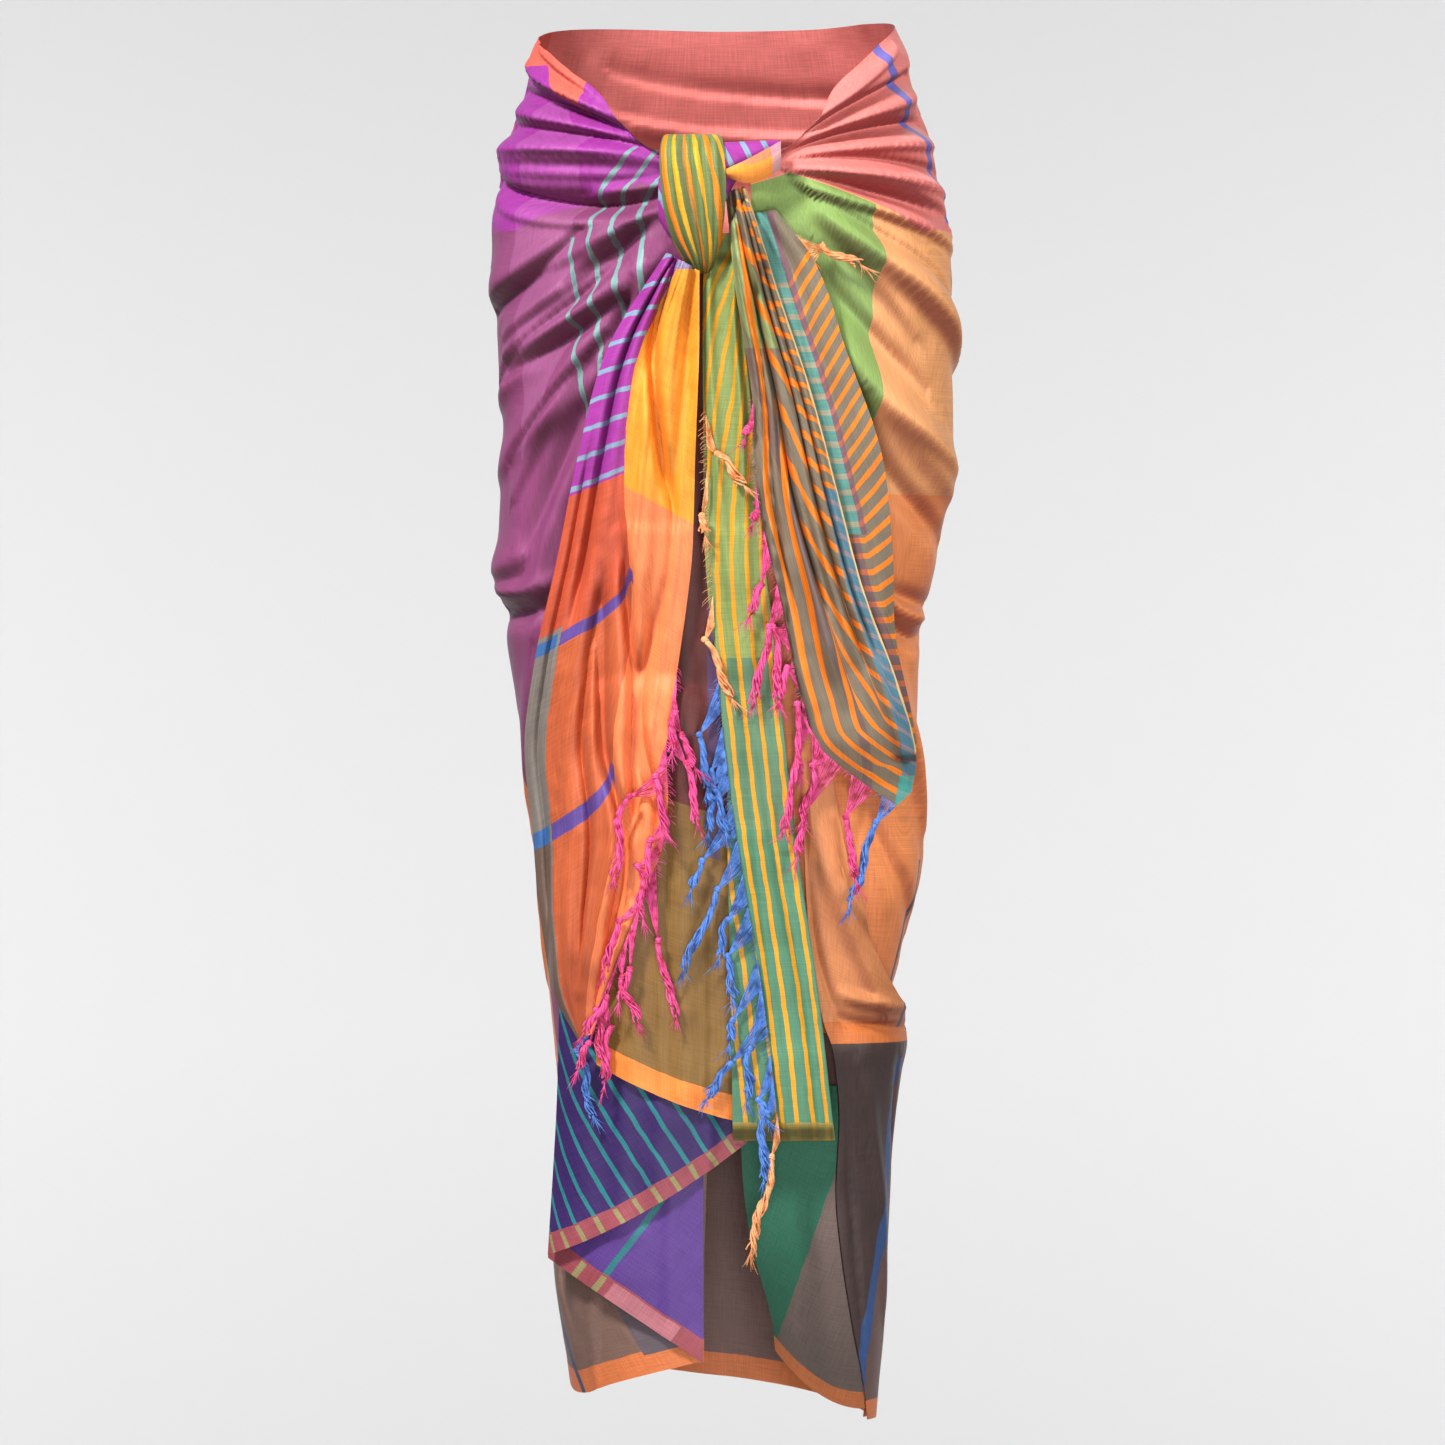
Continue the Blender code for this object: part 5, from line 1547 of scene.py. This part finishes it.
turned_silk = woven_silk("handwoven silk cotton, turned over", [
    {"along": "u", "bands": [(-50, OLIVE_GREY), (200, OLIVE_GREY)]},
    {"along": "v", "first": 94.0, "pitch": 12.4, "width": 4.3, "colour": STRIPE_ORANGE,
     "within": [("v", 94, 900)]},
    {"along": "u", "bands": [(-50, TEAL), (10, "7A4A66"), (15, None), (200, None)],
     "within": [("z", -290, 0)], "strength": 0.66},
    {"along": "u", "bands": [(-50, "6E3E60"), (7, None), (200, None)],
     "within": [("z", -430, -290)], "strength": 0.5},
], down_slope_shade="8A6A60")
centre_silk = woven_silk("handwoven silk cotton, sea green with orange stripes", [
    {"along": "z", "bands": [(-900, "588C6C"), (-520, "688E6C"), (-387, "94A45E"), (0, "94A45E")]},
    {"along": "u", "first": 5.0, "pitch": 12.6, "width": 3.6, "colour": "F2A622"},
    {"along": "v", "bands": [(-20, "C0A048"), (17, None), (400, None)], "strength": 0.75},
], down_slope_shade="707850")
band_silk = woven_silk("handwoven silk cotton, knotted band", [
    {"along": "u", "bands": [(-80, "788A50"), (200, "788A50")]},
    {"along": "u", "first": 1.5, "pitch": 19.0, "width": 3.6, "colour": "FF8E1C"},
    {"along": "u", "first": 11.0, "pitch": 19.0, "width": 3.0, "colour": "FFB424"},
    {"along": "u", "bands": [(-80, None), (14, "6E7448"), (21, None), (200, None)],
     "strength": 0.6},
], down_slope_shade="707048")
knot_silk = woven_silk("handwoven silk cotton, knot", [
    {"along": "v", "bands": [(-80, MAGENTA), (80, MAGENTA)]},
    {"along": "v", "first": -48.0, "pitch": 17.0, "width": 4.4, "colour": PALE_BLUE},
    {"along": "z", "bands": [(-300, "9A4C80"), (-4, None), (100, None)],
     "within": [("v", 5, 80)], "strength": 0.8},
])
tuck_silk = woven_silk("handwoven silk cotton, orange tuck", [
    {"along": "v", "bands": [(-20, "FF9E34"), (14.5, "F28A60"), (40, "F28A60")]},
    {"along": "u", "bands": [(-20, None), (39, "B8A0C4"), (60, "B8A0C4")], "strength": 0.6},
])
fall_silk = woven_silk("handwoven silk cotton, orange brown", [
    # Below the orange band the cloth is plum brown, drawn darker at the front than at the side as
    # painted shade
    {"along": "z", "bands": [
        (-1100, "4E3E3C"), (-688, "D8783C"), (-672, "DA8A56"), (0, "DA8A56"),
    ]},
    # Past the blue stripe towards the side the plum brown is lighter, where the painted shade
    # eases
    {"along": "u", "bands": [(0, None), (163, "745A54"), (300, "745A54")],
     "within": [("z", -1100, -688)]},
    {"along": "u", "bands": [(0, None), (145, "3C5C92"), (163, None), (300, None)],
     "within": [("z", -960, -700)]},
    {"along": "u", "bands": [(0, None), (147, "62586C"), (161, None), (300, None)],
     "within": [("z", -676, -545)]},
    {"along": "v", "bands": [(-20, HEM_ORANGE), (15, None), (600, None)]},
])
teal_silk = woven_silk("handwoven silk cotton, teal", [
    {"along": "u", "bands": [(-200, "2C7258"), (0, "7E6A64"), (200, "7E6A64")]},
    {"along": "v", "bands": [(-20, HEM_ORANGE), (14, None), (400, None)]},
    {"along": "u", "bands": [(-200, "5E5634"), (-12, None), (200, None)],
     "within": [("v", -20, 14)]},
], down_slope_shade="50584C")
pink_thread = spun_thread("spun silk thread, pink", "F0559A", "B01840")
blue_thread = spun_thread("spun silk thread, blue", "5A8AD8", "2E4E90")
peach_thread = spun_thread("spun silk thread, peach", "F7B27A", "D87838")

cover = Cover()
wrap, wrap_turn, wrap_height = wrap_surface()
wrap_normal = outward(wrap)
wrap_u = wrap_turn * GIRTH_PER_DEGREE + stripe_lean(wrap_turn, wrap_height)
rise = np.clip(wrap_height - STRIPE_TURNS, 0, STRIPE_RISE)
wrap_u = wrap_u - STRIPE_LEAN * (rise * step_between(LEANING_FROM, LEANING_TO, wrap_u))
wrap_v = gathered(wrap_turn, wrap_height)
stretches = [
    ("right_hip_wrap", 0, RIGHT_COLS, "wrap_cloth_orange"),
    ("back_wrap", RIGHT_COLS - 1, RIGHT_COLS + BACK_COLS - 1, "wrap_cloth"),
    ("left_hip_wrap", RIGHT_COLS + BACK_COLS - 2, wrap.shape[1], "wrap_cloth"),
]
for node, start, stop, slot in stretches:
    cut = np.s_[:, start:stop]
    cloth(node + "_silk", wrap[cut], wrap_u[cut], wrap_v[cut], wrap_silk, node,
          normal=wrap_normal[cut])
cover.lay(wrap + OUTER_FACE * wrap_normal)

# The two lower falls hang askew: angle of their hem, and the share of a drop that is across it
PURPLE_HEM_ANGLE = -37
PURPLE_DROP = 0.8
STRIPED_HEM_ANGLE = 33
STRIPED_HEM_START = -572.0
STRIPED_DROP = 0.85
OCHRE_WIDTH = 110
purple = hang(cover, FALL_PURPLE, PURPLE_FOLDS, 100, 44, seed=21)[0]
lay("left_fall_purple", purple, along_hem(purple, PURPLE_HEM_ANGLE),
    PURPLE_DROP * from_hem(purple), violet_silk)
striped, down, across = hang(cover, FALL_STRIPED, STRIPED_FOLDS, 120, 64, 8, seed=23)
# Beside the fold at its left edge the cloth turns away, so its stripes close up there
turning_away = 16 * np.exp(-across * 14)
striped_u = along_hem(striped, STRIPED_HEM_ANGLE, STRIPED_HEM_START) - turning_away
lay("left_fall_striped", striped, striped_u, STRIPED_DROP * from_hem(striped),
    striped_violet_silk)
ochre, down, across = hang(cover, FALL_OCHRE, OCHRE_FOLDS, 160, 54, 5, seed=25)
lay("left_fall_ochre", ochre, across * OCHRE_WIDTH, from_hem(ochre), ochre_silk)

drape, drape_turn = drape_surface(160, 76)
drape_u = drape_turn * GIRTH_PER_DEGREE + stripe_lean(drape_turn, drape[..., 2])
lay("right_fall", drape, drape_u, from_hem(drape), fall_silk)

turned = turned_surface(drape[:, 0], 80, 44)
turned_u = turned[..., 0] - TEAL_LINE_X - TEAL_LINE_SLOPE * (turned[..., 2] - TEAL_LINE_Z)
cloth("right_fall_turn_silk", turned, turned_u, from_hem(turned), teal_silk,
      "right_fall_turn")

centre = double_surface()
centre_run = from_left(centre)
centre_u = np.abs(centre_run - centre_run[:, CENTRE_FOLD_COLUMN][:, None])
centre_u = centre_u + CENTRE_ASKEW * np.maximum(centre[..., 2] - CENTRE_ASKEW_FROM, 0) ** 2
lay("centre_fall", centre, centre_u, from_hem(centre), centre_silk)

left_tail, down, across = hang(cover, LEFT_TAIL, LEFT_TAIL_FOLDS, 200, 90, seed=41)
split = smooth(np.linspace(0, 1, len(LEFT_TAIL_SPLIT)), LEFT_TAIL_SPLIT, down)
tail_z = left_tail[..., 2]
tail_width = left_tail[:, -1:, 0] - left_tail[:, :1, 0]
beside = (across - split) * tail_width
tail_u = np.where(beside < 0, TAIL_STRIPE * across / split, TAIL_STRIPE + beside)
low = step_between(TAIL_LOW_FROM, TAIL_LOW_TO, tail_z)
tilt = np.where(beside < 0, TAIL_TILT_LEFT + TAIL_TILT_LOW * low, TAIL_TILT_RIGHT) * beside
bend_up = TAIL_BEND * low * np.exp(-np.abs(beside) / TAIL_BEND_WIDTH)
tail_v = -tail_z + (tilt + bend_up)
lay("left_tail", left_tail, tail_u, tail_v, tail_silk)

tail_turn = hang(cover, RIGHT_TAIL_TURN, TURN_FOLDS, 150, 34, seed=43)[0]
tail_edge_x, tail_edge_z = columns(RIGHT_TAIL)[2:4]
turn_u = tail_turn[..., 0] - smooth(-tail_edge_z, tail_edge_x, -tail_turn[..., 2])
rising = STRIPES_RISE - STRIPES_RISE_LESS * step_between(-180, -330, tail_turn[..., 2])
turn_v = -tail_turn[..., 2] + rising * np.maximum(turn_u - TEAL_EDGE, 0)
lay("right_tail_turn", tail_turn, turn_u, turn_v, turned_silk)

right_tail, down, across = hang(cover, RIGHT_TAIL, RIGHT_TAIL_FOLDS, 190, 96, seed=45)
selvedge = from_hem(right_tail)[:, -1:] + SELVEDGE_SPARE
tail_width = right_tail[:, -1:, 0] - right_tail[:, :1, 0]
hidden = np.maximum(selvedge - tail_width, 0) / len(RIGHT_TAIL_VALLEYS)
right_u = across * np.minimum(tail_width, selvedge)
for at_top, at_end in RIGHT_TAIL_VALLEYS:
    place = at_top + (at_end - at_top) * down
    right_u = right_u + hidden / (1 + np.exp(-(across - place) / VALLEY_WIDTH))
lay("right_tail", right_tail, right_u, (1 - across) * tail_width, striped_silk)

roll_table = columns(KNOT_ROLL)
share = np.linspace(0, 1, 46)
stations = np.linspace(0, 1, len(KNOT_ROLL))
roll_x, roll_y, roll_z, roll_high, roll_deep = [smooth(stations, c, share) for c in roll_table]
angle = np.linspace(0, 2 * np.pi, 40)
# The roll closes on itself: the last column of its grid lies on the first
roll = np.stack([
    roll_x[:, None] + 0 * angle,
    roll_y[:, None] + np.cos(angle) * roll_deep[:, None],
    roll_z[:, None] + np.sin(angle) * roll_high[:, None],
], -1)
cloth("knot_core_silk", roll, from_left(roll), roll_x[:, None] + 0.5 * roll[..., 2], knot_silk,
      "knot_core")

band, down, across = band_surface(90, 100)
band_u = BAND_WIDTH * across + BAND_LEAN * down + BAND_SWAY * np.sin(3.2 * down + 2 * across)
lay("knot_band", band, band_u, from_hem(band), band_silk)
tuck_x, tuck_low, tuck_top, tuck_y = columns(KNOT_TUCK)
stations = np.linspace(0, 1, len(KNOT_TUCK))
share = np.linspace(0, 1, 40)
tuck_x, tuck_low, tuck_top, tuck_y = [
    smooth(stations, c, share)[None, :] for c in (tuck_x, tuck_low, tuck_top, tuck_y)]
rise = np.linspace(1, 0, 20)[:, None]
tuck = np.stack([
    tuck_x + 0 * rise,
    tuck_y - 2 * np.sin(np.pi * rise) + 0 * tuck_x,
    tuck_low + (tuck_top - tuck_low) * rise,
], -1)
lay("knot_tuck", tuck, from_left(tuck), from_hem(tuck), tuck_silk)

rng = np.random.default_rng(SEED)
threads = {"pink": pink_thread, "blue": blue_thread, "peach": peach_thread}
# Node, its edge, its tassels, its colour, and the way its loose ends point along x
fringes = [
    ("fringe_left_pink", left_tail[:, -1], PINK_LEFT + PINK_LEFT_MORE, "pink", 1),
    ("fringe_left_blue", left_tail[-1], BLUE_LEFT, "blue", 0),
    ("fringe_centre_peach", centre[:, -1], PEACH_CENTRE, "peach", -1),
    ("fringe_centre_blue", centre[:, -1], BLUE_CENTRE + BLUE_CENTRE_MORE, "blue", -1),
    ("fringe_centre_tip", centre[:, -1], PEACH_TIP, "peach", -1),
    ("fringe_hip_peach", tail_turn[:, -1], PEACH_HIP, "peach", 1),
    ("fringe_right_pink", right_tail[:, 0], PINK_RIGHT + PINK_RIGHT_MORE, "pink", -1),
    ("fringe_right_blue", right_tail[:, 0], BLUE_RIGHT, "blue", -1),
]
for name, edge, tassels, colour, out in fringes:
    fringe(name, cover, edge, tassels, threads[colour], out, rng)

# The camera stands level with the middle of the cloth, square to its front
CAMERA_DISTANCE = 8.0
FRAME_SIDE = 1.1416
FRAME_MIDDLE = -0.4365
camera_data = bpy.data.cameras.new("camera")
camera_data.sensor_width = 36.0
camera_data.lens = 36.0 * CAMERA_DISTANCE / FRAME_SIDE
camera = bpy.data.objects.new("camera", camera_data)
camera.location = (0, -CAMERA_DISTANCE, FRAME_MIDDLE)
camera.rotation_euler = (np.pi / 2, 0, 0)
bpy.context.scene.collection.objects.link(camera)
bpy.context.scene.camera = camera

# A pale floor that curves up into the wall behind, in metres
FLOOR_HEIGHT = -2.5
FLOOR_FRONT = -10.0
FLOOR_HALF_WIDTH = 9.0
WALL_PLACE = 10.0
WALL_TOP = 6.0
CURVE_RADIUS = 1.5
bend = np.linspace(0, np.pi / 2, 24)
profile = np.concatenate([
    [[FLOOR_FRONT, FLOOR_HEIGHT]],
    np.stack([WALL_PLACE - CURVE_RADIUS + CURVE_RADIUS * np.sin(bend),
              FLOOR_HEIGHT + CURVE_RADIUS - CURVE_RADIUS * np.cos(bend)], -1),
    [[WALL_PLACE, WALL_TOP]],
])
sides = (-FLOOR_HALF_WIDTH, FLOOR_HALF_WIDTH)
sweep = np.array([[(x, y, z) for x in sides] for y, z in profile])
index = np.arange(len(profile) * 2).reshape(-1, 2)
quads = np.stack([index[:-1, 0], index[:-1, 1], index[1:, 1], index[1:, 0]], -1)
paper = bpy.data.materials.new("painted backdrop, pale grey")
paper.use_nodes = True
paint = paper.node_tree.nodes["Principled BSDF"].inputs
paint["Base Color"].default_value = linear("E4E4E4")
paint["Roughness"].default_value = 0.9
floor = add_mesh("floor", sweep.reshape(-1, 3) / MM, quads, paper)

# Place, aim, size in metres and power in watts
MIDDLE = (0.0, 0.0, -0.45)
LIGHTS = [
    ("key", (-1.6, -2.5, 2.3), MIDDLE, 0.6, 188),
    ("fill", (3.0, -1.9, 0.6), MIDDLE, 1.8, 62),
    ("low", (0.1, -1.9, -0.8), (0.0, 0.1, -0.9), 0.5, 13),
    ("behind", (0.9, 2.0, 1.6), MIDDLE, 1.5, 12),
    ("wall left", (-3.6, 6.2, -0.4), (0.0, WALL_PLACE, -0.45), 1.6, 118),
    ("wall right", (3.6, 6.2, -0.4), (0.0, WALL_PLACE, -0.45), 1.6, 118),
]
for row in LIGHTS:
    area_light(*row)
world = bpy.data.worlds.new("studio")
world.use_nodes = True
sky = world.node_tree.nodes["Background"].inputs
sky["Color"].default_value = linear("F4F4F6")
sky["Strength"].default_value = 0.17
bpy.context.scene.world = world
bpy.context.scene.view_settings.view_transform = "Standard"
